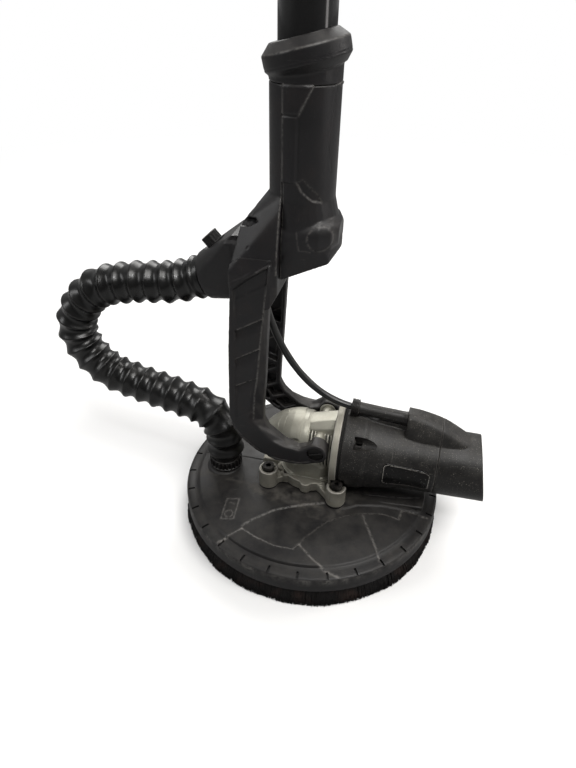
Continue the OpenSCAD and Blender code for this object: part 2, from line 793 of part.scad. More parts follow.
module lock_lever() color([0.5, 0.08, 0.05]) on_datum() at_pole(upper_z0) difference() {
  union() {
    y_rod(lever_x, lever_z, -4, 4, 5);
    block(lever_x, -34, [5, 8, 46]);
    block(lever_x + 1, -52, [5, 14, 32]);
  }
  y_rod(lever_x, lever_z, -20, 20, 2.55);
}
module front_grip() color([0.09, 0.09, 0.09]) on_datum() at_pole(640) difference() {
  union() {
    cylinder(r = 23, h = 150);
    for (i = [0 : 9]) disc(8 + i * 14, 24, 8);
  }
  disc(-1, upper_bore_r, 160);
}
module dust_outlet() color([0.09, 0.09, 0.09]) on_datum() at_pole(outlet_z) difference() {
  union() {
    ring(-24, 22.6, tube_r + 2.1, 24);
    disc(0, 22.6, 6);
    disc(6, 19, total_h - outlet_z - 6);
    around(18) block(22, -20, [1.6, 2, 22]);
  }
  disc(-1, 16, 80);
}

// ---------- handle ----------
// Places in this section are measured from the pole's axis and the handle's bottom.
button_x = 24.6;
button_z = 72;
trigger_w = 13.6;    // width of the trigger and the switch
slot_w = 14.4;       // width of their slots

module at_handle() {
  on_datum() at_pole(handle_z0) children();
}
// the speed dial turns about X on the handle's +X side
module dial_place() {
  translate([24.2, 0, 222]) rotate([0, 90, 0]) children();
}
// cord's axis at the level of the handle's top
module cord_place() {
  translate([31, 0, handle_h]) children();
}
module shell_bolts(half_len, r) {
  for (z = [20, 130, 262]) y_rod(-22.6, z, -half_len, half_len, r);
}
module handle_swell() {
  translate([0, 0, 60]) scale([1, 0.9, 1]) cylinder(r = 31, h = 50, $fn = 32);
}
module handle_neck() {
  disc(150, 25.5, 40, $fn = 32);
}
module handle_solid() {
  hull() {
    disc(0, 25, 2, $fn = 32);
    handle_swell();
  }
  hull() {
    handle_swell();
    handle_neck();
  }
  hull() {
    handle_neck();
    disc(225, 27, 20, $fn = 32);
    translate([6, 0, 0]) disc(handle_h - 16, 33, 16, $fn = 32);
  }
  // ledge below the trigger
  hull() {
    block(20, 84, [26, 22, 4]);
    block(10, 66, [4, 26, 40]);
  }
}
// shell on the +Y side for s = 1, on the -Y side for s = -1
module handle_half(s) {
  difference() {
    handle_solid();
    // other half
    translate([-60, s > 0 ? -60 : 0, -10]) cube([160, 60, 320]);
    // tube
    disc(-10, upper_bore_r, 320);
    // trigger slot
    block(19, 96, [40, slot_w, 76]);
    // switch space
    block(20.1, 58, [6.4, slot_w, 132]);
    y_rod(button_x, button_z, -40, 40, 4);
    // speed dial seat
    dial_place() {
      cylinder(r = 9.04, h = 30);
      disc(-2.5, 3.04, 5);
    }
    cord_place() disc(-22, 5.5, 60);
    shell_bolts(50, 1.6);
  }
}
module handle_shell_left() color([0.1, 0.1, 0.1]) at_handle() handle_half(-1);
module handle_shell_right() color([0.1, 0.1, 0.1]) at_handle() handle_half(1);
module handle_screws() color([0.3, 0.3, 0.3]) at_handle() shell_bolts(9, 1.58);
module trigger() color([0.06, 0.06, 0.06]) at_handle() union() {
  block(30, 100, [6.5, trigger_w, 66]);
  block(32, 100, [8, trigger_w, 22]);
  y_rod(31.5, 164, -trigger_w / 2, trigger_w / 2, 4.4);
}
module lock_on_button() color([0.5, 0.08, 0.05]) at_handle() union() {
  y_rod(button_x, button_z, -24, 12, 3.9);
  y_rod(button_x, button_z, -29.5, -24, 3.9);
}
module speed_dial() color([0.3, 0.3, 0.3]) at_handle() dial_place() union() {
  disc(-2.4, 3, 3);
  difference() {
    cylinder(r = 9, h = 7);
    around(18) block(8.4, 3.4, [2, 1, 5]);
  }
  block(-1.2, 6, [2.4, 14, 2.6]);
}
module switch_module() color([0.2, 0.2, 0.2]) at_handle() block(20.3, 88, [4.4, trigger_w, 56]);
module cord_sleeve() color([0.05, 0.05, 0.05]) at_handle() cord_place() difference() {
  union() {
    disc(-21.5, 5.48, 21.5);
    cylinder(r1 = 6.5, r2 = 4.6, h = 34);
  }
  disc(-22.5, 3.6, 80);
}
module power_cord() color([0.04, 0.04, 0.04]) at_handle() cord_place() disc(-21, 3.55, 90);

shroud();
mount_bushes();
bearing_plate();
gear_housing();
gear_case_flange();
post_screws();
spindle();
spindle_bearings();
crown_gear();
pinion();
motor_shaft();
armature_core();
commutator();
cooling_fan();
motor_bearings();
stator();
carbon_brushes();
brush_boxes();
motor_housing();
motor_gasket();
motor_end_cap();
motor_screws();
label_plate();
cable_sleeve();
cable_clip();
dust_port_ring();
pad_plate();
foam_pad();
abrasive_disc();
pad_bolt();
brush_holder();
brush_bristles();
yoke_fork();
yoke_front_cover();
socket_collar();
pivot_screws();
pivot_bushes();
yoke_screws();
hose_release_knob();
dust_hose();
head_cable();
lower_tube();
upper_tube();
lock_collar();
lock_lever();
lever_pin();
front_grip();
handle_shell_left();
handle_shell_right();
handle_screws();
trigger();
lock_on_button();
speed_dial();
switch_module();
dust_outlet();
cord_sleeve();
power_cord();
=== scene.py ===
# A long-reach sander. The round head lies flat with its brush tips on the floor and the disc
# centred on the Z axis. The motor lies along +X, the pole stands up +Z at x = POLE_X, and the
# dust hose bulges out towards -X. The near side is -Y.
# Shapes are written in mm above the CAD's datum; new_mesh turns them into metres.
import math

import bpy
import bmesh
import numpy as np
from mathutils import Vector, Matrix


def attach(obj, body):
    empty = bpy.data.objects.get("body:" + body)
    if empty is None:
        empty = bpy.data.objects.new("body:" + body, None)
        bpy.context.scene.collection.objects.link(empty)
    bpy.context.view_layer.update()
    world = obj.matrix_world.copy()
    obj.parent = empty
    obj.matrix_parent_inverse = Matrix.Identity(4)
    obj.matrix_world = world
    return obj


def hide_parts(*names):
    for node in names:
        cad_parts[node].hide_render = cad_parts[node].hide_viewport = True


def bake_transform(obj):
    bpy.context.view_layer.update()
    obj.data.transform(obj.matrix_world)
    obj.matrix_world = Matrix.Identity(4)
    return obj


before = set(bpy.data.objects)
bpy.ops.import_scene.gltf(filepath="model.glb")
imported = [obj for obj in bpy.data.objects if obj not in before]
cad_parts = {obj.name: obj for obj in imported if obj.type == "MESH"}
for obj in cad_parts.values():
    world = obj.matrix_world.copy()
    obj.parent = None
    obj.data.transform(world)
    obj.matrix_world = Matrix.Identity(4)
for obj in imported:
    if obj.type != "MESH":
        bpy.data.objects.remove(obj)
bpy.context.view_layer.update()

MM = 0.001
DATUM = 9.5  # height of the CAD's datum above the brush tips
POLE_X = -17.0
POLE_BORE = 18.03
MOTOR_Z = 68.5  # height of the motor's axis
MOTOR_SCREW = 23.33  # the corner screws' offset from the motor's axis, in Y and Z
PIVOT_X, PIVOT_Z = 8.4, 84.6  # where the yoke hangs on the gear case
PORT = (-83, -11, 0)  # centre of the hose port
SIDES = (-1, 1)  # near, far


# ---------------------------------------------------------------- mesh helpers
def new_mesh(points, faces, name="tool", smooth=True):
    points = np.array(points, float).reshape(-1, 3)
    points[:, 2] += DATUM
    mesh = bpy.data.meshes.new(name)
    mesh.from_pydata((points * MM).tolist(), [], [tuple(int(i) for i in f) for f in faces])
    mesh.update()
    if smooth:
        mesh.polygons.foreach_set("use_smooth", [True] * len(mesh.polygons))
    ob = bpy.data.objects.new(name, mesh)
    bpy.context.scene.collection.objects.link(ob)
    return ob


def bake(ob):
    """Apply the object's modifiers."""
    bpy.context.view_layer.update()
    graph = bpy.context.evaluated_depsgraph_get()
    mesh = bpy.data.meshes.new_from_object(ob.evaluated_get(graph))
    old = ob.data
    ob.modifiers.clear()
    ob.data = mesh
    bpy.data.meshes.remove(old)


def remove(ob):
    mesh = ob.data
    bpy.data.objects.remove(ob)
    if mesh.users == 0:
        bpy.data.meshes.remove(mesh)


def apply_boolean(ob, tool, operation, solver):
    modifier = ob.modifiers.new("b", "BOOLEAN")
    modifier.operation, modifier.object, modifier.solver = operation, tool, solver
    bake(ob)


def boolean(ob, tools, operation="DIFFERENCE"):
    """Apply each tool in turn and delete it."""
    for tool in tools:
        backup = ob.data.copy()
        apply_boolean(ob, tool, operation, "MANIFOLD")
        # the manifold solver gives an empty mesh when an input isn't watertight
        if len(ob.data.polygons) < 4:
            ob.data = backup
            apply_boolean(ob, tool, operation, "EXACT")
        remove(tool)
    return ob


def read_points(ob):
    points = np.empty(len(ob.data.vertices) * 3, np.float32)
    ob.data.vertices.foreach_get("co", points)
    points = points.reshape(-1, 3).astype(float) / MM
    points[:, 2] -= DATUM
    return points


def write_points(ob, points):
    points = np.array(points, float)
    points[:, 2] += DATUM
    ob.data.vertices.foreach_set("co", (points * MM).astype(np.float32).ravel())
    ob.data.update()


def read_shape(ob):
    """Vertex places and vertex normals."""
    normal = np.empty(len(ob.data.vertices) * 3, np.float32)
    ob.data.vertex_normals.foreach_get("vector", normal)
    return read_points(ob), normal.reshape(-1, 3).astype(float)


def push(ob, points, direction, amount):
    write_points(ob, points + direction * amount[:, None])


def mark(ob, **layers):
    """Store the point attributes the materials read: wear, dust, dark (painted shade) and line."""
    for name, values in layers.items():
        layer = ob.data.attributes.new(name, "FLOAT", "POINT")
        layer.data.foreach_set("value", np.asarray(values, np.float32))


def copy_cad(node, name):
    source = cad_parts[node]
    ob = new_mesh(read_points(source), [tuple(p.vertices) for p in source.data.polygons], name)
    bm = bmesh.new()
    bm.from_mesh(ob.data)
    bmesh.ops.remove_doubles(bm, verts=bm.verts, dist=1e-6)
    bm.to_mesh(ob.data)
    bm.free()
    return ob


def voxel(ob, size, rounds, quick_size=None):
    """Remesh to even cells and soften with some rounds of smoothing."""
    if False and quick_size:
        size = quick_size
    remesh = ob.modifiers.new("r", "REMESH")
    remesh.mode, remesh.voxel_size, remesh.use_smooth_shade = "VOXEL", size * MM, True
    soften = ob.modifiers.new("s", "SMOOTH")
    soften.factor, soften.iterations = 0.5, rounds
    bake(ob)
    ob.data.polygons.foreach_set("use_smooth", [True] * len(ob.data.polygons))
    ob.data.update()


def sharpen(ob, degrees):
    """Smooth shading, with edges above the angle kept sharp."""
    ob.data.polygons.foreach_set("use_smooth", [True] * len(ob.data.polygons))
    ob.data.set_sharp_from_angle(angle=math.radians(degrees))
    return ob


def bevel(ob, width, segments=2):
    modifier = ob.modifiers.new("v", "BEVEL")
    modifier.width, modifier.segments = width * MM, segments
    modifier.limit_method, modifier.angle_limit = "ANGLE", math.radians(30)
    bake(ob)
    return sharpen(ob, 40)


def tidy(ob):
    """Weld doubles, drop degenerate faces and turn the normals outwards."""
    bm = bmesh.new()
    bm.from_mesh(ob.data)
    bmesh.ops.remove_doubles(bm, verts=bm.verts, dist=1e-7)
    bmesh.ops.dissolve_degenerate(bm, edges=bm.edges, dist=1e-7)
    bmesh.ops.recalc_face_normals(bm, faces=bm.faces)
    bm.to_mesh(ob.data)
    bm.free()
    ob.data.update()
    return ob


def turned_faces(turns, rows, closed=True):
    """Quads of a profile of `rows` points repeated round an axis."""
    return [
        (i * rows + q, (i + 1) % turns * rows + q,
         (i + 1) % turns * rows + (q + 1) % rows, i * rows + (q + 1) % rows)
        for i in range(turns) for q in range(rows if closed else rows - 1)
    ]


def lathe(profile, turns, axis="Z", centre=(0, 0, 0), closed=True, name="tool"):
    """Turn (radius, height) points about an axis; closed joins the last to the first."""
    points = []
    for i in range(turns):
        a = 2 * math.pi * i / turns
        points += [(r * math.cos(a), r * math.sin(a), h) for r, h in profile]
    points = np.roll(points, {"Z": 0, "X": 1, "Y": 2}[axis], axis=1) + centre
    return sharpen(tidy(new_mesh(points, turned_faces(turns, len(profile), closed), name)), 38)


def loft(rings, name="tool", caps_first=False, smooth=True):
    """Capped skin through rings with equal counts of points."""
    count = len(rings[0])
    points = [p for ring in rings for p in ring]
    caps = [tuple(range(count)), tuple(range(len(points) - 1, len(points) - count - 1, -1))]
    skin = [
        (i * count + j, i * count + (j + 1) % count,
         (i + 1) * count + (j + 1) % count, (i + 1) * count + j)
        for i in range(len(rings) - 1) for j in range(count)
    ]
    return tidy(new_mesh(points, caps + skin if caps_first else skin + caps, name, smooth))


def prism(outline, start, end, axis="Y", name="tool"):
    """(x, z) outline drawn along Y, or (x, y) outline drawn along Z."""
    rings = [[(u, t, v) if axis == "Y" else (u, v, t) for u, v in outline] for t in (start, end)]
    return loft(rings, name, caps_first=True, smooth=False)


def block(x0, x1, y0, y1, z0, z1, name="tool"):
    return prism([(x0, z0), (x1, z0), (x1, z1), (x0, z1)], y0, y1, name=name)


def circle(centre, radii, across, up):
    """Ring about a centre; radii is one number per point."""
    count = len(radii)
    return [centre + radii[j] * (math.cos(2 * math.pi * j / count) * across
                                 + math.sin(2 * math.pi * j / count) * up) for j in range(count)]


def rod(start, end, radius, end_radius=None, sides=32, name="tool"):
    start, end = np.array(start, float), np.array(end, float)
    end_radius = radius if end_radius is None else end_radius
    along = (end - start) / np.linalg.norm(end - start)
    across = np.cross(along, (0, 0, 1) if abs(along[2]) < 0.9 else (1, 0, 0))
    across /= np.linalg.norm(across)
    up = np.cross(along, across)
    rings = [circle(c, [r] * sides, across, up) for c, r in ((start, radius), (end, end_radius))]
    return loft(rings, name, caps_first=True)


def sweep(path, radii, sides, name):
    """Tube along a path; each radius is a number or one number per side."""
    path = np.array(path, float)
    tangent = np.gradient(path, axis=0)
    tangent /= np.linalg.norm(tangent, axis=1)[:, None]
    across = np.cross((0, 1, 0), tangent[0])
    across /= np.linalg.norm(across)
    rings = []
    for centre, along, radius in zip(path, tangent, radii):
        across = across - along * (across @ along)
        across /= np.linalg.norm(across)
        radius = np.broadcast_to(radius, sides)
        rings.append(circle(centre, radius, across, np.cross(along, across)))
    return loft(rings, name)


def signed_power(value, exponent):
    return math.copysign(abs(value) ** exponent, value)


def ellipse_ring(x, half_width, z_mid, half_height, power, count):
    """Superellipse across X."""
    ring = []
    for i in range(count):
        a = 2 * math.pi * i / count
        ring.append((x, half_width * signed_power(math.cos(a), 2 / power),
                     z_mid + half_height * signed_power(math.sin(a), 2 / power)))
    return ring


# ---------------------------------------------------------------- 2-D fields for shallow relief
def line_distance(points, line, closed=False):
    line = np.array(line, float)
    if closed:
        line = np.vstack([line, line[:1]])
    best = np.full(len(points), 1e9)
    for a, b in zip(line[:-1], line[1:]):
        ab = b - a
        t = np.clip(((points - a) @ ab) / (ab @ ab), 0, 1)
        best = np.minimum(best, np.hypot(*(points - a - t[:, None] * ab).T))
    return best


def inside(points, outline):
    hits = np.zeros(len(points), bool)
    for (x0, y0), (x1, y1) in zip(outline, outline[1:] + outline[:1]):
        if y0 == y1:
            continue
        crosses = (y0 > points[:, 1]) != (y1 > points[:, 1])
        hits ^= crosses & (points[:, 0] < (x1 - x0) * (points[:, 1] - y0) / (y1 - y0) + x0)
    return hits


def signed_distance(points, outline):
    """Negative inside the outline."""
    distance = line_distance(points, outline, True)
    return np.where(inside(points, outline), -distance, distance)


def ramp(distance, width):
    """1 well inside, 0 well outside, smooth over the width."""
    t = np.clip(0.5 - distance / width, 0, 1)
    return t * t * (3 - 2 * t)


def panel(points, outline, width):
    return ramp(signed_distance(points, outline), width)


def groove(points, line, half, width):
    return ramp(line_distance(points, line) - half, width)


def stripe(values, middle, half, width):
    return ramp(np.abs(values - middle) - half, width)


def scuff(points, line, width, closed=False):
    return np.exp(-(line_distance(points, line, closed) / width) ** 2)


def value_noise(points, seed, scale):
    """Smooth 2-D value noise, 0 to 1."""
    table = np.random.default_rng(seed).random((64, 64))
    q = points / scale + 1000.0
    cell = np.floor(q).astype(int)
    f = q - cell
    f = f * f * (3 - 2 * f)
    a, b = cell % 64, (cell + 1) % 64
    low = table[a[:, 0], a[:, 1]] * (1 - f[:, 0]) + table[b[:, 0], a[:, 1]] * f[:, 0]
    high = table[a[:, 0], b[:, 1]] * (1 - f[:, 0]) + table[b[:, 0], b[:, 1]] * f[:, 0]
    return low * (1 - f[:, 1]) + high * f[:, 1]


# ---------------------------------------------------------------- materials
def srgb(colour, factor=1.0):
    """8-bit sRGB to linear RGBA, scaled."""
    parts = [c / 255.0 for c in colour]
    parts = [c / 12.92 if c <= 0.04045 else ((c + 0.055) / 1.055) ** 2.4 for c in parts]
    return tuple(c * factor for c in parts) + (1.0,)


class Shader:
    """A node material with a Principled surface, textured in object space."""

    def __init__(self, name):
        self.material = bpy.data.materials.new(name)
        self.material.use_nodes = True
        self.tree = self.material.node_tree
        self.tree.nodes.clear()
        self.output = self.node("OutputMaterial")
        self.surface = self.node("BsdfPrincipled")
        self.link(self.surface.outputs[0], self.output.inputs[0])
        self.coords = self.node("TexCoord").outputs["Object"]

    def node(self, kind):
        return self.tree.nodes.new("ShaderNode" + kind)

    def link(self, source, target):
        self.tree.links.new(source, target)

    def feed(self, target, value):
        """Link a socket, or set a plain value."""
        if isinstance(value, (int, float, tuple)):
            target.default_value = value
        else:
            self.link(value, target)

    def noise(self, scale, detail=4, rough=0.55, vector=None):
        node = self.node("TexNoise")
        node.inputs["Scale"].default_value = scale
        node.inputs["Detail"].default_value = detail
        node.inputs["Roughness"].default_value = rough
        self.link(vector or self.coords, node.inputs["Vector"])
        return node.outputs[0]

    def mapped(self, rotation, scale):
        node = self.node("Mapping")
        node.inputs["Rotation"].default_value = rotation
        node.inputs["Scale"].default_value = scale
        self.link(self.coords, node.inputs["Vector"])
        return node.outputs[0]

    def remap(self, value, low, high, to_low=0.0, to_high=1.0):
        node = self.node("MapRange")
        node.clamp = True
        self.link(value, node.inputs["Value"])
        for key, number in (("From Min", low), ("From Max", high),
                            ("To Min", to_low), ("To Max", to_high)):
            node.inputs[key].default_value = number
        return node.outputs[0]

    def math(self, operation, a, b):
        node = self.node("Math")
        node.operation = operation
        self.feed(node.inputs[0], a)
        self.feed(node.inputs[1], b)
        return node.outputs[0]

    def times(self, a, b):
        return self.math("MULTIPLY", a, b)

    def mix(self, factor, a, b):
        node = self.node("Mix")
        node.data_type = "RGBA"
        for index, value in ((0, factor), (6, a), (7, b)):
            self.feed(node.inputs[index], value)
        return node.outputs[2]

    def attribute(self, name):
        node = self.node("Attribute")
        node.attribute_name = name
        return node.outputs["Fac"]

    def bump(self, height, strength, distance, previous=None):
        node = self.node("Bump")
        node.inputs["Strength"].default_value = strength
        node.inputs["Distance"].default_value = distance
        self.link(height, node.inputs["Height"])
        if previous is not None:
            self.link(previous, node.inputs["Normal"])
        return node.outputs[0]


def used_surface(name, colour, rough=0.5, metal=0.0, specular=0.34, blotch=0.25,
                 grain=0.25, grain_scale=1100.0, grain_depth=0.0002,
                 dust=0.3, dust_colour=(96, 92, 86), edge=0.35, edge_colour=(92, 89, 86),
                 scratch=0.25, scratch_colour=(110, 107, 104), coat=0.0,
                 speck=0.0, speck_colour=(120, 116, 108), brushing=None, warm=0.0):
    """Worn surface: blotches, warm stains, scratches, dust on top, pale edges and specks, with
    near-black painted shade where the dark attribute is set.
    """
    s = Shader(name)
    normal_source = s.node("NewGeometry")
    # dark plastics are held well below their sRGB value
    bright = metal > 0.5 or max(colour) > 110
    depth = 1.0 if bright else 0.24
    base = srgb(colour, depth)
    big = s.noise(scale=24, detail=5, rough=0.6)
    mid = s.noise(scale=140, detail=4, rough=0.6)
    fine = s.noise(scale=grain_scale, detail=3, rough=0.6)
    dark, light = (tuple(min(1, x * f) for x in base[:3]) + (1.0,)
                   for f in (1 - blotch, 1 + blotch))
    paint = s.mix(s.remap(big, low=0.3, high=0.7), dark, light)
    if warm:
        stain = s.times(s.remap(s.noise(scale=60), low=0.5, high=0.7), warm)
        paint = s.mix(stain, paint, srgb((60, 44, 38)))
    if scratch:
        # two sets of noise stretched into fine lines
        along = s.mapped(rotation=(0.5, 0.3, 0.9), scale=(1.0, 1.0, 0.03))
        lines = s.remap(s.noise(scale=900, detail=2, rough=0.5, vector=along), low=0.66, high=0.70)
        along = s.mapped(rotation=(1.3, -0.6, 0.2), scale=(0.04, 1.0, 1.0))
        more = s.remap(s.noise(scale=700, detail=2, rough=0.5, vector=along), low=0.67, high=0.71)
        lines = s.math("MAXIMUM", lines, more)
        lines = s.times(s.times(lines, s.remap(mid, low=0.48, high=0.66)), scratch)
        paint = s.mix(lines, paint, srgb(scratch_colour, 0.5 + 0.2 * depth))
    if dust:
        split = s.node("SeparateXYZ")
        s.link(normal_source.outputs["Normal"], split.inputs[0])
        upward = s.remap(split.outputs["Z"], low=0.1, high=0.95)
        patches = s.remap(s.noise(scale=55, detail=6, rough=0.7), low=0.38, high=0.68)
        settled = s.times(s.times(upward, patches), dust)
        placed = s.times(s.attribute("dust"), s.remap(mid, low=0.3, high=0.65))
        settled = s.math("MAXIMUM", settled, placed)
        paint = s.mix(settled, paint, srgb(dust_colour, 0.8 if bright else 0.42))
    if edge:
        rim = s.remap(normal_source.outputs["Pointiness"], low=0.52, high=0.60)
        rim = s.times(s.times(rim, s.remap(mid, low=0.35, high=0.6)), edge)
        paint = s.mix(rim, paint, srgb(edge_colour, 1.0 if bright else 0.6))
    if speck:
        dots = s.remap(s.noise(scale=1500, detail=1, rough=0.4),
                       low=0.69 - 0.05 * speck, high=0.74)
        dots = s.times(dots, s.remap(mid, low=0.3, high=0.6))
        paint = s.mix(dots, paint, srgb(speck_colour))
    broken = s.remap(s.noise(scale=420, detail=3, rough=0.6), low=0.34, high=0.56)
    bare = srgb((150, 147, 143) if bright else (122, 119, 115))
    paint = s.mix(s.times(s.attribute("wear"), broken), paint, bare)
    # painted shade: near-black where the dark attribute marks slits, shadow lines, gaps and vents
    paint = s.mix(s.attribute("dark"), paint, (0.004, 0.004, 0.004, 1))
    s.link(paint, s.surface.inputs["Base Color"])
    s.surface.inputs["Metallic"].default_value = metal
    s.surface.inputs["Specular IOR Level"].default_value = specular
    gloss = s.remap(big, low=0.3, high=0.7, to_low=max(rough - 0.07, 0.03), to_high=rough + 0.07)
    if dust:
        gloss = s.math("ADD", gloss, s.times(settled, 0.35))
    s.link(gloss, s.surface.inputs["Roughness"])
    if coat:
        s.surface.inputs["Coat Weight"].default_value = coat
        s.surface.inputs["Coat Roughness"].default_value = 0.08
    normal = None
    if brushing:
        along = s.mapped(rotation=(0, 0, 0), scale=brushing)
        normal = s.bump(s.noise(scale=900, detail=3, rough=0.6, vector=along),
                        strength=0.3, distance=0.0001)
    normal = s.bump(fine, strength=grain, distance=grain_depth, previous=normal)
    normal = s.bump(mid, strength=0.12, distance=0.0004, previous=normal)
    s.link(normal, s.surface.inputs["Normal"])
    return s.material


def label_material():
    """Near-black gloss with pale specks and a pale outline where `line` is set."""
    s = Shader("label_gloss")
    clouds = s.remap(s.noise(scale=60, detail=5), low=0.35, high=0.65)
    paint = s.mix(clouds, srgb((5, 5, 5)), srgb((10, 9, 9)))
    s.surface.inputs["Specular IOR Level"].default_value = 0.22
    specks = s.remap(s.noise(scale=900, detail=1, rough=0.4), low=0.72, high=0.76)
    paint = s.mix(s.times(specks, 0.6), paint, srgb((120, 118, 112)))
    broken = s.remap(s.noise(scale=300, detail=3), low=0.3, high=0.5)
    paint = s.mix(s.times(s.attribute("line"), broken), paint, srgb((176, 172, 165)))
    s.link(paint, s.surface.inputs["Base Color"])
    gloss = s.remap(s.noise(scale=80), low=0.3, high=0.7, to_low=0.2, to_high=0.38)
    s.link(gloss, s.surface.inputs["Roughness"])
    ripple = s.bump(s.noise(scale=700, detail=3), strength=0.08, distance=0.0001)
    s.link(ripple, s.surface.inputs["Normal"])
    return s.material


POLE_FINISH = dict(metal=0.1, specular=0.6, dust=0.0, edge=0.1, scratch_colour=(70, 68, 68),
                   grain=0.03, blotch=0.15)
SURFACES = {
    "charcoal": dict(colour=(44, 42, 43), rough=0.46, dust=0.35, blotch=0.2),
    "charcoal_dark": dict(colour=(34, 31, 31), dust=0.25),
    "yoke_plastic": dict(colour=(45, 43, 46), rough=0.42, specular=0.42, dust=0.28,
                         blotch=0.18, edge=0.45, warm=0.07),
    "motor_plastic": dict(colour=(46, 44, 43), rough=0.42, grain=0.5, grain_scale=900, dust=0.5,
                          speck=0.5, dust_colour=(104, 101, 96), blotch=0.2),
    "cast_alloy": dict(colour=(152, 150, 139), rough=0.46, metal=0.55, dust=0.12,
                       dust_colour=(120, 116, 106), edge=0.5, edge_colour=(226, 224, 214),
                       scratch=0.3, scratch_colour=(90, 88, 82), blotch=0.28, grain=0.3,
                       grain_scale=500),
    "flange_alloy": dict(colour=(142, 139, 129), metal=0.55, dust=0.2,
                         dust_colour=(110, 104, 96), edge=0.4, edge_colour=(214, 210, 200),
                         scratch=0.4, scratch_colour=(80, 76, 70), blotch=0.35, grain=0.5,
                         grain_scale=800),
    "black_oxide": dict(colour=(24, 23, 23), rough=0.4, metal=0.35, edge=0.5,
                        edge_colour=(96, 92, 88), blotch=0.3),
    "steel": dict(colour=(150, 150, 152), rough=0.3, metal=1.0, dust=0.05, blotch=0.15),
    "gear_steel": dict(colour=(128, 128, 130), rough=0.36, metal=1.0, dust=0.0, blotch=0.2),
    "bush_rubber": dict(colour=(20, 19, 19), rough=0.75, edge=0.0, scratch=0.0),
    "iron_core": dict(colour=(92, 84, 76), metal=0.7, dust=0.0, brushing=(40, 0.3, 0.3)),
    "copper": dict(colour=(150, 92, 58), rough=0.4, metal=0.9, dust=0.0),
    "brass": dict(colour=(176, 146, 84), rough=0.35, metal=0.95, dust=0.0),
    "carbon": dict(colour=(28, 28, 28), rough=0.8, dust=0.0, scratch=0.0),
    "fan_plastic": dict(colour=(52, 54, 60)),
    "pad_plastic": dict(colour=(30, 30, 30), rough=0.55, dust=0.4),
    "foam": dict(colour=(58, 56, 54), rough=0.92, dust=0.35, edge=0.0, scratch=0.0, grain=0.9,
                 grain_scale=700, grain_depth=0.0006),
    "abrasive": dict(colour=(150, 128, 96), rough=0.9, dust=0.2, edge=0.0, scratch=0.1,
                     grain=1.0, grain_scale=1600, grain_depth=0.0004, speck=1.0,
                     speck_colour=(190, 176, 150)),
    "bristle": dict(colour=(22, 16, 15), rough=0.65, specular=0.3, dust=0.06, edge=0.0,
                    scratch=0.0, grain=0.3, warm=0.4),
    "hose_plastic": dict(colour=(22, 22, 22), rough=0.3, specular=0.45, dust=0.2,
                         dust_colour=(78, 76, 71), edge=0.15, scratch=0.05, grain=0.2,
                         grain_scale=600, coat=0.06),
    "hose_ring": dict(colour=(26, 23, 24), rough=0.4, dust=0.35, edge=0.5,
                      edge_colour=(80, 74, 70)),
    "pole_metal": dict(colour=(14, 13, 15), rough=0.16, scratch=0.12, coat=0.7, **POLE_FINISH),
    "pole_metal_upper": dict(colour=(17, 16, 18), rough=0.2, scratch=0.15, coat=0.6,
                             **POLE_FINISH),
    "grip_foam": dict(colour=(28, 27, 27), rough=0.85, dust=0.15, edge=0.1, scratch=0.0,
                      grain=0.9, grain_scale=900, grain_depth=0.0004),
    "handle_plastic": dict(colour=(40, 39, 40), rough=0.45, dust=0.12, blotch=0.15, grain=0.4),
    "red_plastic": dict(colour=(150, 30, 22), rough=0.38, dust=0.08, blotch=0.12, edge=0.3,
                        edge_colour=(190, 90, 80)),
    "dial_plastic": dict(colour=(70, 70, 72), rough=0.4, dust=0.1),
    "cord_rubber": dict(colour=(20, 20, 21), rough=0.42, dust=0.12, edge=0.0, scratch=0.1,
                        grain=0.15),
    "cable_rubber": dict(colour=(26, 26, 25), rough=0.34, specular=0.6, dust=0.2, edge=0.0,
                         scratch=0.1, grain=0.12),
}
MATERIALS = {name: used_surface(name, **settings) for name, settings in SURFACES.items()}
MATERIALS["label_gloss"] = label_material()

# slots of the materials whose slot isn't called after them
SLOT_OF = {
    "charcoal": "charcoal_plastic", "charcoal_dark": "charcoal_plastic",
    "yoke_plastic": "charcoal_plastic", "brass": "brass_part", "hose_ring": "hose_plastic",
    "pole_metal_upper": "pole_metal", "cable_rubber": "cord_rubber",
}


def dress(ob, material, slot=None):
    ob.data.materials.clear()
    ob.data.materials.append(MATERIALS[material])
    return slot or SLOT_OF.get(material, material)


def finish(ob, body, material, *replaced, slot=None):
    """Material, moving body, and the CAD nodes this piece stands in for; the slot name is worked
    out but not kept.
    """
    slot = dress(ob, material, slot)
    if body:
        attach(ob, body)
    if replaced:
        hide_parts(*replaced)


# ---------------------------------------------------------------- shroud
# Plan lines on the dome, (x, y) on the near half; the far half mirrors them.
ARC_LEFT = [(-60.6, -100.2), (-52.5, -92.2), (-44.1, -84.6), (-45.2, -81), (-37, -72),
            (-21.6, -58.9), (-9, -52), (2.5, -46.5), (20.3, -39.9)]
FRONT_EDGE = [(-44.1, -84.6), (-30, -90.6), (-12, -95.2), (3.5, -94.9), (7.4, -89.4)]
ARC_RIGHT = [(7.4, -89.4), (10.3, -82.2), (14.9, -75.4), (25.8, -61), (40.8, -50.1),
             (55.3, -43.4), (73.2, -38.8), (87, -40.4), (89.3, -29.6), (112.1, -28.9)]
RIM_EDGE = [(7.4, -89.4), (19.8, -99.2), (32.7, -106.3), (44.5, -109.2)]
SPOKE = [(55.7, -45.9), (65.7, -65.8), (75.9, -85.9)]
STEP = [(-106, -30), (-92.6, -28.9), (-75.3, -33.8), (-65.2, -33.5), (-51.6, -39.1),
        (-39, -42.6), (-19, -44), (-0.4, -47.7)]
FRONT_PANEL = ([(-66, -106)] + ARC_LEFT[:3] + FRONT_EDGE[1:] + RIM_EDGE[1:]
               + [(46, -135), (-70, -135)])
RIGHT_PANEL = ARC_RIGHT + [(140, -29), (140, -140), (44.5, -140)] + RIM_EDGE[:0:-1]
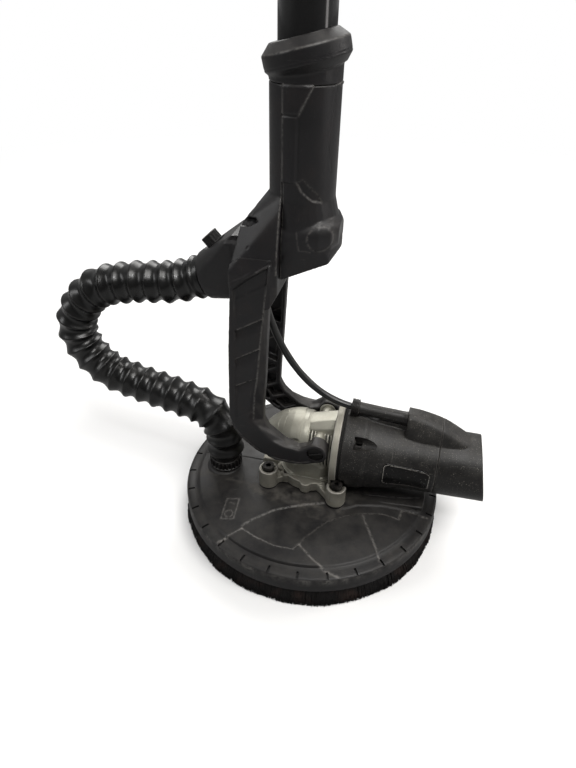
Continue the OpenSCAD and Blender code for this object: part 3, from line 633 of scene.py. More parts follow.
LEFT_PANEL = ([(-140, -30)] + STEP + ARC_LEFT[6::-1]
              + [(-66, -106), (-70, -140), (-140, -140)])
STEP_RIM = STEP + ARC_LEFT[7:] + [(38, -42.5)]
MIDDLE_PANEL = ([(-140, 0), (-140, -30)] + STEP_RIM
                + [(49.5, -35.4), (72.2, -29.6), (89.1, -28.5), (112, -26), (140, -26), (140, 0)])
DECK_PANEL = [(37.9, 0), (37.9, -31.6), (59.4, -27.6), (90.3, -25), (107.5, -24.1),
              (109, -10.9), (109, 0)]
DECK_LINE = [(52.4, -21.8), (82, -17.5), (107, -13.2)]
MARK_FRAME = [(-67.3, -55.4), (-56.3, -53.7), (-54.7, -76.1), (-66.1, -78)]
MARK_BAR = [(-63.5, -59.5), (-58.5, -60.0)]
SHROUD_SCUFFS = [  # weight, width, line
    (0.8, 1.0, FRONT_EDGE), (0.7, 1.1, ARC_LEFT[:3]), (0.45, 0.9, ARC_LEFT[3:]),
    (0.65, 1.0, RIM_EDGE), (0.55, 0.8, SPOKE), (0.5, 0.9, ARC_RIGHT[5:]),
    (0.3, 0.9, ARC_RIGHT[:6]),
]
# dome height against radius
DOME_RADIUS = [26, 66, 90, 108, 110.5, 112.5, 116.6, 118.2, 119, 119.6, 120]
DOME_HEIGHT = [29.5, 29.5, 27.7, 25.1, 24.1, 23.7, 23.4, 23.0, 22.4, 21.6, 20.6]
# (radius, height) down the skirt and back under the dome
SHROUD_UNDERSIDE = [(120.0, 14.0), (120.0, 9.0), (119.6, 8.0), (117.4, 8.0), (117.0, 8.6),
                    (117.0, 16.5), (112.4, 20.3), (104.0, 21.5), (60.0, 26.5), (26.0, 26.5)]
SLIT_PITCH = 12  # degrees between the rim's slits
SLIT_HALF, SLIT_OUTER = 0.36, 0.47  # floor and top of a slit's wall, degrees from its middle
SLIT_DEPTH = 1.7


def shroud_relief(x, y):
    """Height, wear and dust of the shallow moulded panels on the dome."""
    plan = np.stack([x, -np.abs(y)], 1)
    near = y < 0
    fade = ramp(np.hypot(x, y) - 108.6, 1.2)
    height = 2.2 * panel(plan, FRONT_PANEL, 1.5)
    height = height + 0.9 * panel(plan, RIGHT_PANEL, 1.5)
    height = height + 0.7 * panel(plan, LEFT_PANEL, 1.6)
    middle = panel(plan, MIDDLE_PANEL, 2.0)
    height = height + 0.8 * middle
    height = height - 0.8 * groove(plan, SPOKE, 0.5, 1.2)
    height = height - 0.5 * groove(plan, DECK_LINE, 0.5, 1.0)
    # raised frame with a ring and a bar in it, on the near side only
    ring = np.abs(np.hypot(plan[:, 0] + 60.6, plan[:, 1] + 71.4) - 3.6)
    emblem = np.minimum(line_distance(plan, MARK_FRAME, True), ring)
    emblem = np.minimum(emblem, line_distance(plan, MARK_BAR))
    height = height + near * 0.45 * ramp(emblem - 0.45, 0.6)

    wear = sum(weight * scuff(plan, line, width) for weight, width, line in SHROUD_SCUFFS)
    wear += near * 0.4 * np.exp(-(emblem / 0.6) ** 2)
    wear *= np.where(near, 1.0, 0.5)

    coarse = value_noise(np.stack([x, y], 1), 3, 9.0)
    fine = value_noise(np.stack([x, y], 1), 5, 3.2)
    ragged = 0.35 + 0.65 * fine
    smear = ramp(line_distance(plan, STEP_RIM) - 5.0 - 7 * (coarse - 0.5), 6.0) * ragged
    splash = np.hypot((plan[:, 0] - 14) / 20, (plan[:, 1] + 53) / 7.5) * 8
    splash = ramp(splash - 8 + 4 * (coarse - 0.5), 3.0)
    # dust gathered round the gear case's foot
    foot = np.maximum(np.abs(x + 3) - 42, np.abs(y) - 44) - 2 - 9 * (coarse - 0.4)
    foot = ramp(foot, 7.0) * (0.3 + 0.7 * fine)
    dust = (0.7 * foot + 0.42 * middle * (0.45 + 0.55 * coarse) + 0.5 * smear + 0.55 * splash
            + 0.3 * panel(plan, DECK_PANEL, 2.0))
    return height * fade, np.clip(wear, 0, 1), np.clip(dust, 0, 1) * fade


def build_shroud():
    # regular samples round the rim, plus exact ones on the walls of each slit
    samples = 540
    angle = list(np.arange(samples) * 360.0 / samples)
    for i in range(360 // SLIT_PITCH):
        angle += [(SLIT_PITCH * i + d) % 360
                  for d in (-SLIT_OUTER, -SLIT_HALF, SLIT_HALF, SLIT_OUTER)]
    angle = np.unique(np.round(angle, 3))
    # drop regular samples that fall too near a slit's edge
    half_pitch = SLIT_PITCH / 2
    from_edge = np.abs(
        np.abs((angle + half_pitch) % SLIT_PITCH - half_pitch) - SLIT_HALF)
    angle = angle[(from_edge < 0.006) | (from_edge >= 0.1)]

    top = list(np.linspace(26, 108.4, 92))
    top += [109.1, 109.8, 110.5, 111.5, 112.6, 112.8, 114.5, 116.6, 117.5, 118.2, 118.8, 119.0,
            119.6, 120.0]
    profile = [(r, float(np.interp(r, DOME_RADIUS, DOME_HEIGHT))) for r in top]
    radius, height = np.array(profile + SHROUD_UNDERSIDE).T
    on_top = np.arange(len(radius)) < len(top)
    turns, rows = len(angle), len(radius)
    turn = np.radians(angle)
    x, y = np.cos(turn)[:, None] * radius, np.sin(turn)[:, None] * radius
    z = np.repeat(height[None], turns, 0)
    relief, wear, dust = (layer.reshape(turns, rows)
                          for layer in shroud_relief(x.ravel(), y.ravel()))
    for layer in (relief, wear, dust):
        layer[:, ~on_top] = 0
    in_slit = np.abs((angle + half_pitch) % SLIT_PITCH - half_pitch) < 0.4
    slit = in_slit[:, None] & (on_top & (radius > 112.7) & (radius < 118.9))[None]
    z = z + relief - SLIT_DEPTH * slit
    # scuffs on the rim's outer edge
    rim = (radius > 119.2) & on_top
    rim_noise = value_noise(np.stack([angle * 2, angle * 0], 1), 9, 5.0)
    wear[:, rim] = np.maximum(wear[:, rim], 0.35 * rim_noise[:, None])
    ob = new_mesh(np.stack([x, y, z], 2), turned_faces(turns, rows), "shroud_shell")
    # painted shade: the rim's slits are coloured near-black
    mark(ob, wear=wear.ravel(), dust=dust.ravel(), dark=0.95 * slit.ravel())
    finish(sharpen(ob, 38), "head", "charcoal", "shroud")


def build_shroud_fittings():
    # the hose port's boss with its root fillet and bead, (radius, height)
    boss = [(10.5, 24), (10.5, 41.2), (10.8, 41.5), (12.2, 41.5), (12.5, 41.2), (12.5, 30.6),
            (15.6, 30.2), (17.2, 29.2), (18.2, 27.8), (18.4, 26.4), (15, 24)]
    finish(lathe(boss, 96, "Z", PORT, name="shroud_port"), "head", "charcoal")
    # deck under the motor; near half of its (x, y) outline, mirrored for the far half
    half = [(38, -31.4), (59.4, -27.6), (90.3, -25), (107, -24), (108.4, -12)]
    deck = prism(half + [(x, -y) for x, y in half[::-1]], 24, 29.9, "Z", "shroud_deck")
    bevel(deck, 1.4, 3)
    mark(deck, dust=np.full(len(deck.data.vertices), 0.3))
    finish(deck, "head", "charcoal")
    ribs = [(43, -21.8, 82, -17.4), (82, -17.4, 104, -12.6),
            (44, 21.8, 82, 17.4), (82, 17.4, 104, 12.6)]
    for i, (x0, y0, x1, y1) in enumerate(ribs):
        rib = rod((x0, y0, 29.7), (x1, y1, 29.7), 0.9, sides=10, name="deck_rib_%d" % i)
        finish(rib, "head", "charcoal_dark")


# ---------------------------------------------------------------- brush
BRUSH_CORE = [  # (radius, height)
    (111.8, -2.0), (111.8, 8.6), (115.1, 8.6), (115.5, 4.6), (117.0, 0.5), (119.0, -5.0),
    (120.0, -8.0), (118.4, -8.8), (113.6, -8.4),
]
BRUSH_LAYERS = [  # strands, root radius, tip radius, lowest tip, mean and spread of its rise
    (2400, 115.0, 121.3, -9.2, 0.6, 0.8),
    (1200, 114.4, 119.8, -9.3, 0.3, 0.5),
]
BRUSH_TOP = 9.0


def build_brush():
    finish(lathe(BRUSH_CORE, 180, name="brush_core"), "brush_ring", "bristle", "brush_bristles")
    rng = np.random.default_rng(7)
    for layer, (count, root, reach, low_tip, rise, spread) in enumerate(BRUSH_LAYERS):
        points, faces = [], []
        angles = np.sort(rng.random(count)) * 2 * math.pi
        wave = (0.9 * np.sin(angles * 9 + 1) + 0.6 * np.sin(angles * 23)
                + rng.normal(0, 0.45, count))
        for i in range(count):
            lean = rng.normal(0, 0.012)
            tip_radius = min(reach + 0.45 * wave[i], 122.2)
            tip = low_tip + max(0, rng.normal(rise, spread))
            width = rng.uniform(0.55, 0.9)
            base = len(points)
            # four three-sided rings down the strand: fraction, radius, half width
            rings = ((0, root, width), (0.26, root + 0.9, width),
                     (0.6, root + (tip_radius - root) * 0.62, width * 0.9),
                     (1, tip_radius, width * 0.4))
            for t, radius, half in rings:
                z = BRUSH_TOP + (tip - BRUSH_TOP) * t
                angle = angles[i] + lean * t
                c, s = math.cos(angle), math.sin(angle)
                for du, dv in ((-half, -0.35), (half, -0.35), (0, 0.45)):
                    points.append((c * (radius + dv) - s * du, s * (radius + dv) + c * du, z))
            for ring in (base, base + 3, base + 6):
                for j in range(3):
                    k = (j + 1) % 3
                    faces.append((ring + j, ring + k, ring + 3 + k, ring + 3 + j))
            faces.append((base + 9, base + 10, base + 11))
        strands = new_mesh(points, faces, "brush_strands_%d" % layer)
        finish(strands, "brush_ring", "bristle")


# ---------------------------------------------------------------- hose and cable
HOSE_PATH = [  # the first and last points only steer the ends
    (-80, 0, 226), (-93.5, 0, 221.5), (-122, -0.3, 212.6), (-162.3, -1, 207.3), (-196, -1.5, 196),
    (-218, -2.7, 168), (-217, -3.6, 141), (-196, -4.8, 117), (-163.3, -6, 106.4),
    (-128, -7.6, 99.5), (-99, -9, 91), (-84.5, -10.3, 73), (-83, -11, 43.4), (-84.5, -11.7, 18),
]
HOSE_PITCH = 13.9  # wanted spacing of the crests
CABLE_CURVE = [(-46, 0, 212), (-40, 0, 172), (-12, 0, 118), (34, 0, 113.4)]
CABLE_END = [(37, 0, 113.15), (41, 0, 112.8)]


def catmull(path, count):
    path = np.array(path, float)
    spans = len(path) - 3
    out = []
    for i in range(count):
        t = i / (count - 1) * spans
        k = min(int(t), spans - 1)
        f = t - k
        a, b, c, d = path[k:k + 4]
        out.append(0.5 * (2 * b + f * (c - a) + f * f * (2 * a - 5 * b + 4 * c - d)
                          + f ** 3 * (3 * b - a - 3 * c + d)))
    return np.array(out)


def bezier(controls, count):
    t = np.linspace(0, 1, count)[:, None]
    a, b, c, d = (np.array(p, float) for p in controls)
    return (1 - t) ** 3 * a + 3 * t * (1 - t) ** 2 * b + 3 * t * t * (1 - t) * c + t ** 3 * d


def even(path, step):
    """Resample at even steps; returns the points and their distances along."""
    steps = np.linalg.norm(np.diff(path, axis=0), axis=1)
    distance = np.concatenate([[0], np.cumsum(steps)])
    along = np.linspace(0, distance[-1], int(round(distance[-1] / step)) + 1)
    return np.stack([np.interp(along, distance, path[:, i]) for i in range(3)], 1), along


def build_hose():
    path, along = even(catmull(HOSE_PATH, 900), 0.7)
    length = along[-1]
    pitch = length / round(length / HOSE_PITCH)
    phase = (along / pitch) % 1.0
    # narrow crest, wide hollow valley
    off_crest = np.sqrt((2 * (phase - 0.5)) ** 2 + 0.006)
    radius = np.minimum(14.7 + 3.45 * np.clip(1 - off_crest, 0, 1) ** 1.75, 17.95)
    # plain cuffs at the two ends
    radius = np.where(length - along < 5.0, 14.3, np.where(along < 4.0, 16.6, radius))
    sides = 56
    turn = np.arange(sides) * 2 * math.pi / sides
    radii = [r + 0.10 * np.sin(3 * turn + s * 0.05) + 0.06 * np.sin(7 * turn + s * 0.21)
             for r, s in zip(radius, along)]
    ob = sweep(path, radii, sides, "dust_hose_skin")
    finish(ob, None, "hose_plastic", "dust_hose")
    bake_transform(ob)


def build_cable():
    path, along = even(np.vstack([bezier(CABLE_CURVE, 90), CABLE_END]), 1.6)
    sides = 20
    # slightly uneven, with two shallow lines along the jacket
    lines = np.where(np.arange(sides) % 10 == 0, -0.12, 0.0)
    radii = [3.05 + 0.06 * math.sin(s * 0.23) + lines for s in along]
    ob = sweep(path, radii, sides, "head_cable_jacket")
    finish(ob, None, "cable_rubber", "head_cable")
    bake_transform(ob)


# ---------------------------------------------------------------- gear case
NOSE = np.array([  # x, top, bottom, half width
    (-43.2, 80.0, 78.6, 0.7), (-42.2, 81.4, 75.5, 3.4), (-40, 83.6, 71.5, 7.6),
    (-35, 87.8, 65, 13.2), (-29.7, 90.9, 60, 17.4), (-24, 93.0, 56, 20.4),
    (-18, 94.6, 53, 22.4), (-12, 95.4, 50, 23.7), (-6, 95.6, 48, 24.3), (-2, 95.0, 48, 24.3),
])
# (x, z) lines on the nose's flanks
SWOOSH_EDGE = [(-43.5, 79.5), (-38, 82.2), (-34.5, 82.6), (-32, 79.5), (-28, 77.6),
               (-22.5, 78.6), (-17.5, 82.2), (-13, 84.0), (-9, 83.6)]
SWOOSH = SWOOSH_EDGE + [(-9, 120), (-45, 120)]
LOWER_LEAF = [(-30, 72.5), (-20, 76), (-10, 79.5), (-10, 66), (-20, 62)]
UNDER_SWOOSH = [(-35.5, 81.6), (-32.4, 78.6), (-28, 76.6), (-22.5, 77.6), (-17, 81.0)]
RIB_FLOOR, RIB_CREST, RIB_PITCH = 22.2, 24.5, 2.9
CASE_END = 20.9  # x of the face against the flange
BASE_SCREWS = [(-20.5, -21.5), (-20.5, 21.5)]


def gear_nose():
    """Pointed front of the case, with a raised swoosh and a sunk leaf on each flank."""
    x = np.unique(np.concatenate([-43.2 + 41.2 * np.linspace(0, 1, 96) ** 1.5, NOSE[:, 0]]))
    rows = np.stack([np.interp(x, NOSE[:, 0], NOSE[:, k]) for k in (1, 2, 3)], 1)
    for _ in range(3):
        rows[1:-1] = (rows[:-2] + 2 * rows[1:-1] + rows[2:]) / 4
    nose = loft([ellipse_ring(x, half, (top + low) / 2, (top - low) / 2, 2.15, 168)
                 for x, (top, low, half) in zip(x, rows)], "gc_nose")
    verts, normal = read_shape(nose)
    side = verts[:, [0, 2]]
    height = 1.1 * panel(side, SWOOSH, 0.7) - 1.2 * panel(side, LOWER_LEAF, 2.2)
    on_nose = (verts[:, 0] < -8.8) & (verts[:, 0] > -43)
    push(nose, verts, normal,
         np.where(on_nose, height * np.clip(np.abs(normal[:, 1]) * 2.2, 0, 1), 0))
    return nose


def rib_stack():
    """Disc stack about the motor's axis."""
    profile = [(0, -3), (RIB_FLOOR, -3)]
    x = -2.6
    while x < 18.5:
        profile += [(RIB_FLOOR, x), (RIB_CREST, x + 0.35),
                    (RIB_CREST, x + 1.35), (RIB_FLOOR, x + 1.7)]
        x += RIB_PITCH
    return lathe(profile + [(RIB_FLOOR, 21), (0, 21)], 120, "X", (0, 0, MOTOR_Z), closed=False)


def build_gear_case():
    nose = gear_nose()
    band = loft([ellipse_ring(x, 24.7 - d, MOTOR_Z, 27.3 - d, 2.0, 168)
                 for x, d in ((-8.4, 0.8), (-7.8, 0), (-4.6, 0), (-4.0, 0.8))])
    wedge = loft([
        [(-7.2, -7.4, 93.0), (-7.2, 7.4, 93.0), (-7.2, 12.0, 88.5),
         (-7.2, 12.6, 80), (-7.2, -12.6, 80), (-7.2, -12.0, 88.5)],
        [(CASE_END, -7.4, 101.3), (CASE_END, 7.4, 101.3), (CASE_END, 13.6, 95.5),
         (CASE_END, 14.4, 84), (CASE_END, -14.4, 84), (CASE_END, -13.6, 95.5)]])
    bevel(wedge, 1.0, 3)
    drum = lathe([(0, 42.2), (28.6, 42.2), (28.6, 44.2), (27.4, 45), (27.4, 56), (24.6, 60.5),
                  (24.2, 66), (0, 66)], 120, closed=False)
    lip = lathe([(0, 42.2), (30.2, 42.2), (30.2, 43.6), (27, 44.2), (0, 44.2)], 120,
                closed=False)

    def pivot_rod(side, start, end, radius, sides=32):
        return rod((PIVOT_X, side * start, PIVOT_Z), (PIVOT_X, side * end, PIVOT_Z), radius,
                   sides=sides)

    bosses = [pivot_rod(s, 12, 24.7, 5.0) for s in SIDES]
    bosses += [pivot_rod(s, 23.9, 24.75, 7.5, 48) for s in SIDES]
    ob = boolean(nose, [band, rib_stack(), wedge, drum, lip] + bosses, "UNION")
    # square end, spindle and shaft cavities, flat flanks, pivot holes
    cuts = [block(CASE_END, 60, -60, 60, 0, 140)]
    cuts += [rod((0, 0, low), (0, 0, high), radius, sides=sides) for low, high, radius, sides in
             ((30, 66, 23.0, 72), (60, 81, 7.5, 48), (65, 70.6, 12.6, 48))]
    cuts += [rod((9, 0, MOTOR_Z), (24, 0, MOTOR_Z), 9.6, sides=48)]
    cuts += [block(-60, 60, -60, -24.85, 0, 140), block(-60, 60, 24.85, 60, 66, 140)]
    cuts += [pivot_rod(s, 14.9, 30, 4.0) for s in SIDES]
    sharpen(boolean(ob, cuts), 30)
    # pale swoosh edge; painted shade in dark lines below it and between the ribs
    verts, normal = read_shape(ob)
    x, y, z = verts.T
    side = verts[:, [0, 2]]
    flank = (x < -8.8) & (np.abs(normal[:, 1]) > 0.05)
    below_edge = [(u - 0.2, v - 0.7) for u, v in SWOOSH_EDGE]
    dark = np.maximum(0.22 * scuff(side, UNDER_SWOOSH, 0.6) * flank,
                      0.55 * scuff(side, below_edge, 0.45) * flank)
    at_floor = np.abs(np.hypot(y, z - MOTOR_Z) - RIB_FLOOR) < 0.12
    dark = np.maximum(dark, 0.8 * (at_floor & (x > -2.7) & (x < 20.8) & (z > 50)))
    mark(ob, wear=0.4 * (scuff(side, SWOOSH_EDGE, 0.55) * flank), dark=dark)
    finish(ob, "head", "cast_alloy", "gear_housing")


def build_gear_base():
    """Bearing plate with four posts, and two slotted screws."""
    plate = copy_cad("bearing_plate", "gear_base")
    posts = [rod((x, s * y, 32.2), (x, s * y, 41.4), r)
             for s in SIDES for x, y, r in ((-20.5, 21.5, 4.8), (13.5, 26.6, 4.2))]
    boolean(plate, posts, "UNION")
    boolean(plate, [rod((x, y, 40.3), (x, y, 45), 1.9, sides=20) for x, y in BASE_SCREWS])
    voxel(plate, 0.6, 1, quick_size=0.85)
    x, y, z = read_points(plate).T
    from_post = np.minimum(np.hypot(x - 29, np.abs(y) - 36), np.hypot(x + 35.5, np.abs(y) - 28))
    mark(plate, wear=0.75 * np.exp(-(((from_post - 8.2) / 0.8) ** 2)) * (z > 48.6),
         dust=0.25 * (z < 38))
    finish(plate, "head", "flange_alloy", "bearing_plate", slot="cast_alloy")
    for i, (x, y) in enumerate(BASE_SCREWS):
        screw = rod((x, y, 36), (x, y, 41.2), 1.75, sides=24, name="gear_base_screw_%d" % i)
        boolean(screw, [block(x - 0.3, x + 0.3, y - 3, y + 3, 40.6, 43)])
        finish(screw, "head", "black_oxide")


def build_flange():
    ob = copy_cad("gear_case_flange", "flange_plate")
    voxel(ob, 0.55, 1, quick_size=0.8)
    x, y, z = read_points(ob).T
    faces = (np.abs(x - 21) < 0.8) | (np.abs(x - 27.1) < 0.8)
    mark(ob, wear=0.5 * faces * (np.hypot(y, z - MOTOR_Z) > 36.5),
         dust=0.55 * np.clip((74 - z) / 24, 0, 1))
    finish(ob, "head", "flange_alloy", "gear_case_flange")


# ---------------------------------------------------------------- motor
HOOD = np.array([  # x, half width, top of the raised spine over the motor
    (81.3, 11.4, 118.6), (83, 11.8, 118.5), (90, 12.4, 117.7), (98, 12.8, 115.9),
    (107, 13.0, 113.3), (113, 13.0, 111.1), (118, 12.9, 108.5), (123, 12.4, 105.6),
    (127, 12.0, 103.1), (131, 11.3, 100.6), (134.4, 9.6, 98.6), (136.6, 6.6, 97.2),
])
HOOD_BASE = 93.5
SCREW_POCKET = [  # x, radius, spread of the centre from the motor's axis
    (39.5, 5.9, 1.10), (42, 6.1, 1.11), (51, 5.9, 1.12), (57, 4.7, 1.14), (62, 3.0, 1.16),
    (66, 1.4, 1.18), (68, 0.4, 1.19),
]
WAIST_SEAM = 73.0  # x of the shallow line round the housing
CORNERS = [(s, t) for s in SIDES for t in (-1, 1)]


def hull_radius(x):
    """37.5 at the flange, easing down between x = 40 and 100, then a slight taper."""
    x = np.asarray(x, float)
    ease = (1 - np.cos(np.clip((x - 40) / 60, 0, 1) * math.pi)) / 2
    return np.where(x < 40, 37.5, np.where(x > 100, 29.6 - (x - 100) * 0.6 / 51.5,
                                           37.5 - 7.9 * ease))


def hull_inset(x):
    return np.interp(x, [0, 47.5, 51.5, 60, 75, 100, 300], [0.1, 0.1, 1.55, 1.6, 0.8, 0, 0])


def hull_tool(x0, x1, grow):
    skin = [(float(hull_radius(x)) + grow, x) for x in np.linspace(x0, x1, 60)]
    return lathe([(0, x0)] + skin + [(0, x1)], 128, "X", (0, 0, MOTOR_Z), closed=False)


def hood_ring(x, half_width, top):
    ring = []
    for i in range(60):
        a = 2 * math.pi * i / 60
        c, s = math.cos(a), math.sin(a)
        if s >= 0:
            y, z = signed_power(c, 0.62), HOOD_BASE + (top - HOOD_BASE) * abs(s) ** 0.62
        else:
            y, z = signed_power(c, 0.4), HOOD_BASE - 2.0 * abs(s)
        ring.append((x, half_width * y, z))
    return ring


def hood_end(x):
    """Extra hood station, so the two halves overlap at the housing's joint."""
    return (x,) + tuple(np.interp(x, HOOD[:, 0], HOOD[:, k]) for k in (1, 2))


def about_motor(verts):
    """Radius from the motor's axis and the outward direction."""
    y, z = verts[:, 1], verts[:, 2] - MOTOR_Z
    radius = np.hypot(y, z)
    return radius, np.stack([np.zeros(len(verts)), y / radius, z / radius], 1)


def build_motor_housing():
    ob = copy_cad("motor_housing", "motor_shell")
    hull = boolean(hull_tool(20, 118, 0.02), [block(20, 83, -9.5, 9.5, 90, 125)], "UNION")
    boolean(ob, [hull], "INTERSECT")
    pads = [boolean(rod((38, s * MOTOR_SCREW, MOTOR_Z + t * MOTOR_SCREW),
                        (69, s * 24.4, MOTOR_Z + t * 24.4), 8.2, 7.0),
                    [hull_tool(30, 75, -0.05)], "INTERSECT") for s, t in CORNERS]
    boolean(ob, pads, "UNION")
    boolean(ob, [rod((36.8, 0, MOTOR_Z), (66, 0, MOTOR_Z), 28.8, sides=96)])
    hood = [row for row in HOOD if row[0] < 110.9] + [hood_end(111.2)]
    boolean(ob, [loft([hood_ring(*row) for row in hood])], "UNION")
    # bores for the cable's sleeve and clip
    boolean(ob, [rod((36, 0, 113.2), (84, 0, 109.43), 6.3),
                 rod((25, 0, 114.05), (40, 0, 112.9), 7.7)])
    voxel(ob, 0.72, 2, quick_size=1.0)
    verts, normal = read_shape(ob)
    x, y, z = verts.T
    radius, outward = about_motor(verts)
    facing_out = (normal * outward).sum(1) > 0.3
    outer = (np.abs(radius - hull_radius(x)) < 1.3) & facing_out
    shift = -hull_inset(x) * outer
    shift -= 0.30 * stripe(x, WAIST_SEAM, 0.3, 0.9) * outer * (np.abs(y) > 18)
    push(ob, verts, outward, shift)
    # tear-shaped pockets behind the corner screws, then the screw holes
    turns = np.arange(32) * math.pi / 16
    pockets = [loft([[(x, s * MOTOR_SCREW * spread + r * math.cos(a),
                       MOTOR_Z + t * MOTOR_SCREW * spread + r * math.sin(a)) for a in turns]
                     for x, r, spread in SCREW_POCKET]) for s, t in CORNERS]
    pockets += [rod((40.4, s * MOTOR_SCREW, MOTOR_Z + t * MOTOR_SCREW),
                    (46.5, s * MOTOR_SCREW, MOTOR_Z + t * MOTOR_SCREW), 4.35, sides=40)
                for s, t in CORNERS]
    sharpen(boolean(ob, pockets), 38)
    verts, normal = read_shape(ob)
    x, y, z = verts.T
    radius, outward = about_motor(verts)
    facing_out = (normal * outward).sum(1) > 0.3
    outer = (np.abs(radius - hull_radius(x)) < 2.4) & facing_out
    from_near = np.degrees(np.arctan2(z - MOTOR_Z, -y))
    mark(ob,
         wear=0.35 * stripe(x, WAIST_SEAM, 0.1, 0.6) * outer * (np.abs(from_near) < 60)
         + 0.25 * stripe(x, 110.4, 0.2, 0.8) * (radius > hull_radius(x) - 3.3),
         dust=0.45 * np.clip((z - MOTOR_Z - 14) / 22, 0, 1)
         * (0.5 + 0.5 * value_noise(verts[:, [0, 1]], 11, 7.0)))
    finish(ob, "head", "motor_plastic", "motor_housing")


def build_motor_cap():
    ob = copy_cad("motor_end_cap", "motor_cap_shell")
    boolean(ob, [hull_tool(105, 160, 0.02)], "INTERSECT")
    hood = [hood_end(110.8)] + [row for row in HOOD if row[0] > 111.3]
    boolean(ob, [loft([hood_ring(*row) for row in hood])], "UNION")
    voxel(ob, 0.7, 4, quick_size=1.0)
    x, y, z = read_points(ob).T
    mark(ob, dust=0.4 * np.clip((z - MOTOR_Z - 12) / 20, 0, 1),
         wear=0.25 * stripe(x, 111.5, 0.2, 0.8))
    finish(ob, "head", "motor_plastic", "motor_end_cap")


def build_label():
    """Rounded plate on the near side, curved to the housing, with a thin pale outline."""
    columns, rows = 84, 44
    x0, x1 = 66.5, 107.0
    half_length, half_height, corner = (x1 - x0) / 2, 10.0, 4.4
    points, line = [], []
    for lift in (0.75, 0.1):  # face, back
        for i in range(columns + 1):
            for j in range(rows + 1):
                u, v = i / columns * 2 - 1, j / rows * 2 - 1
                du = abs(u) * half_length - (half_length - corner)
                limit = half_height
                if du > 0:
                    limit += math.sqrt(max(corner * corner - du * du, 0)) - corner
                v = v * limit / half_height
                x = (x0 + x1) / 2 + u * half_length
                radius = float(hull_radius(x) - hull_inset(x)) + lift
                edge = min(half_length - abs(u) * half_length, limit - abs(v) * half_height)
                if lift == 0.75 and edge < 0.5:
                    radius -= 0.35 * (1 - edge / 0.5)
                f = (x - x0) / (x1 - x0)
                low, high = -15 - 7 * f, 24.5 - 7 * f
                angle = math.radians((low + high) / 2 + v * (high - low) / 2)
                points.append((x, -radius * math.cos(angle),
                               MOTOR_Z + radius * math.sin(angle)))
                line.append(0.5 if 0.9 < edge < 1.35 else 0.0)
    row = rows + 1
    back = (columns + 1) * row
    faces = []
    for i in range(columns):
        for j in range(rows):
            a = i * row + j
            faces.append((a, a + 1, a + row + 1, a + row))
            faces.append((back + a, back + a + row, back + a + row + 1, back + a + 1))
    rim = [i * row for i in range(columns + 1)]
    rim += [columns * row + j for j in range(1, row)]
    rim += [i * row + rows for i in range(columns - 1, -1, -1)]
    rim += list(range(rows - 1, 0, -1))
    for a, b in zip(rim, rim[1:] + rim[:1]):
        faces.append((a, b, back + b, back + a))
    ob = new_mesh(points, faces, "label_sheet")
    mark(ob, line=line)
    finish(sharpen(tidy(ob), 45), "head", "label_gloss", "label_plate")


def build_cable_entry():
    """Sleeve with moulded end beads, and a ribbed clip with a foot."""
    slope = math.radians(4.5)
    axis = np.array([math.cos(slope), 0, -math.sin(slope)])
    start = np.array([36, 0, 113.2])
    stations = [  # distance, radius
        (0, 5.2), (0.6, 5.9), (1.0, 6.1), (3.0, 6.1), (3.4, 5.7), (4.0, 5.55), (20, 5.5),
        (30, 5.6), (40, 5.75), (43.5, 5.85), (44, 6.15), (45.5, 6.15), (46, 5.8), (47.6, 5.7),
        (48, 5.2),
    ]
    sleeve = sweep([start + axis * t for t, _ in stations], [r for _, r in stations], 40,
                   "cable_sleeve_body")
    boolean(sleeve, [rod(start - axis * 2, start + axis * 60, 4.0)])
    finish(sharpen(sleeve, 40), "head", "motor_plastic", "cable_sleeve", slot="cord_rubber")

    start = np.array([32, 0, 113.5])
    rib = [(0.2, 6.9), (0.5, 7.55), (1.0, 7.55), (1.3, 6.9)]
    stations = [(t + i * 1.4, r) for i in range(5) for t, r in rib]
    clip = sweep([start + axis * t for t, _ in stations], [r for _, r in stations], 48,
                 "cable_clip_body")
    boolean(clip, [rod(start - axis * 2, start + axis * 20, 6.25, sides=40)])
    foot = block(31.5, 38.5, -3.6, 3.6, 103.4, 107.6, "clip_foot")
    finish(bevel(foot, 0.6), "head", "hose_ring", slot="cord_rubber")
    finish(sharpen(clip, 40), "head", "hose_ring", "cable_clip", slot="cord_rubber")


# ---------------------------------------------------------------- hose port ring
def build_port_ring():
    """Ring round the hose port with 24 raised lugs."""
    profile = [(12.55, 30.6), (12.55, 40.6), (12.9, 41), (13.9, 41), (14.5, 40.4), (14.5, 39.7),
               (14.25, 39.4), (14.25, 33.2), (14.6, 32.9), (15.4, 32.4), (15.4, 31.0),
               (15.1, 30.6)]
    wall = (6, 7)  # profile points the lugs push outwards
    turns = 24 * 10
    points = []
    for i in range(turns):
        a = 2 * math.pi * i / turns
        lug = 1.1 * ramp(np.array([abs((i % 10) / 10 - 0.5) - 0.2]), 0.12)[0]
        for q, (r, z) in enumerate(profile):
            r = r + (lug if q in wall else 0)
            points.append((PORT[0] + r * math.cos(a), PORT[1] + r * math.sin(a), z))
    ob = tidy(new_mesh(points, turned_faces(turns, len(profile)), "port_clamp"))
    finish(sharpen(ob, 30), "head", "hose_ring", "dust_port_ring")


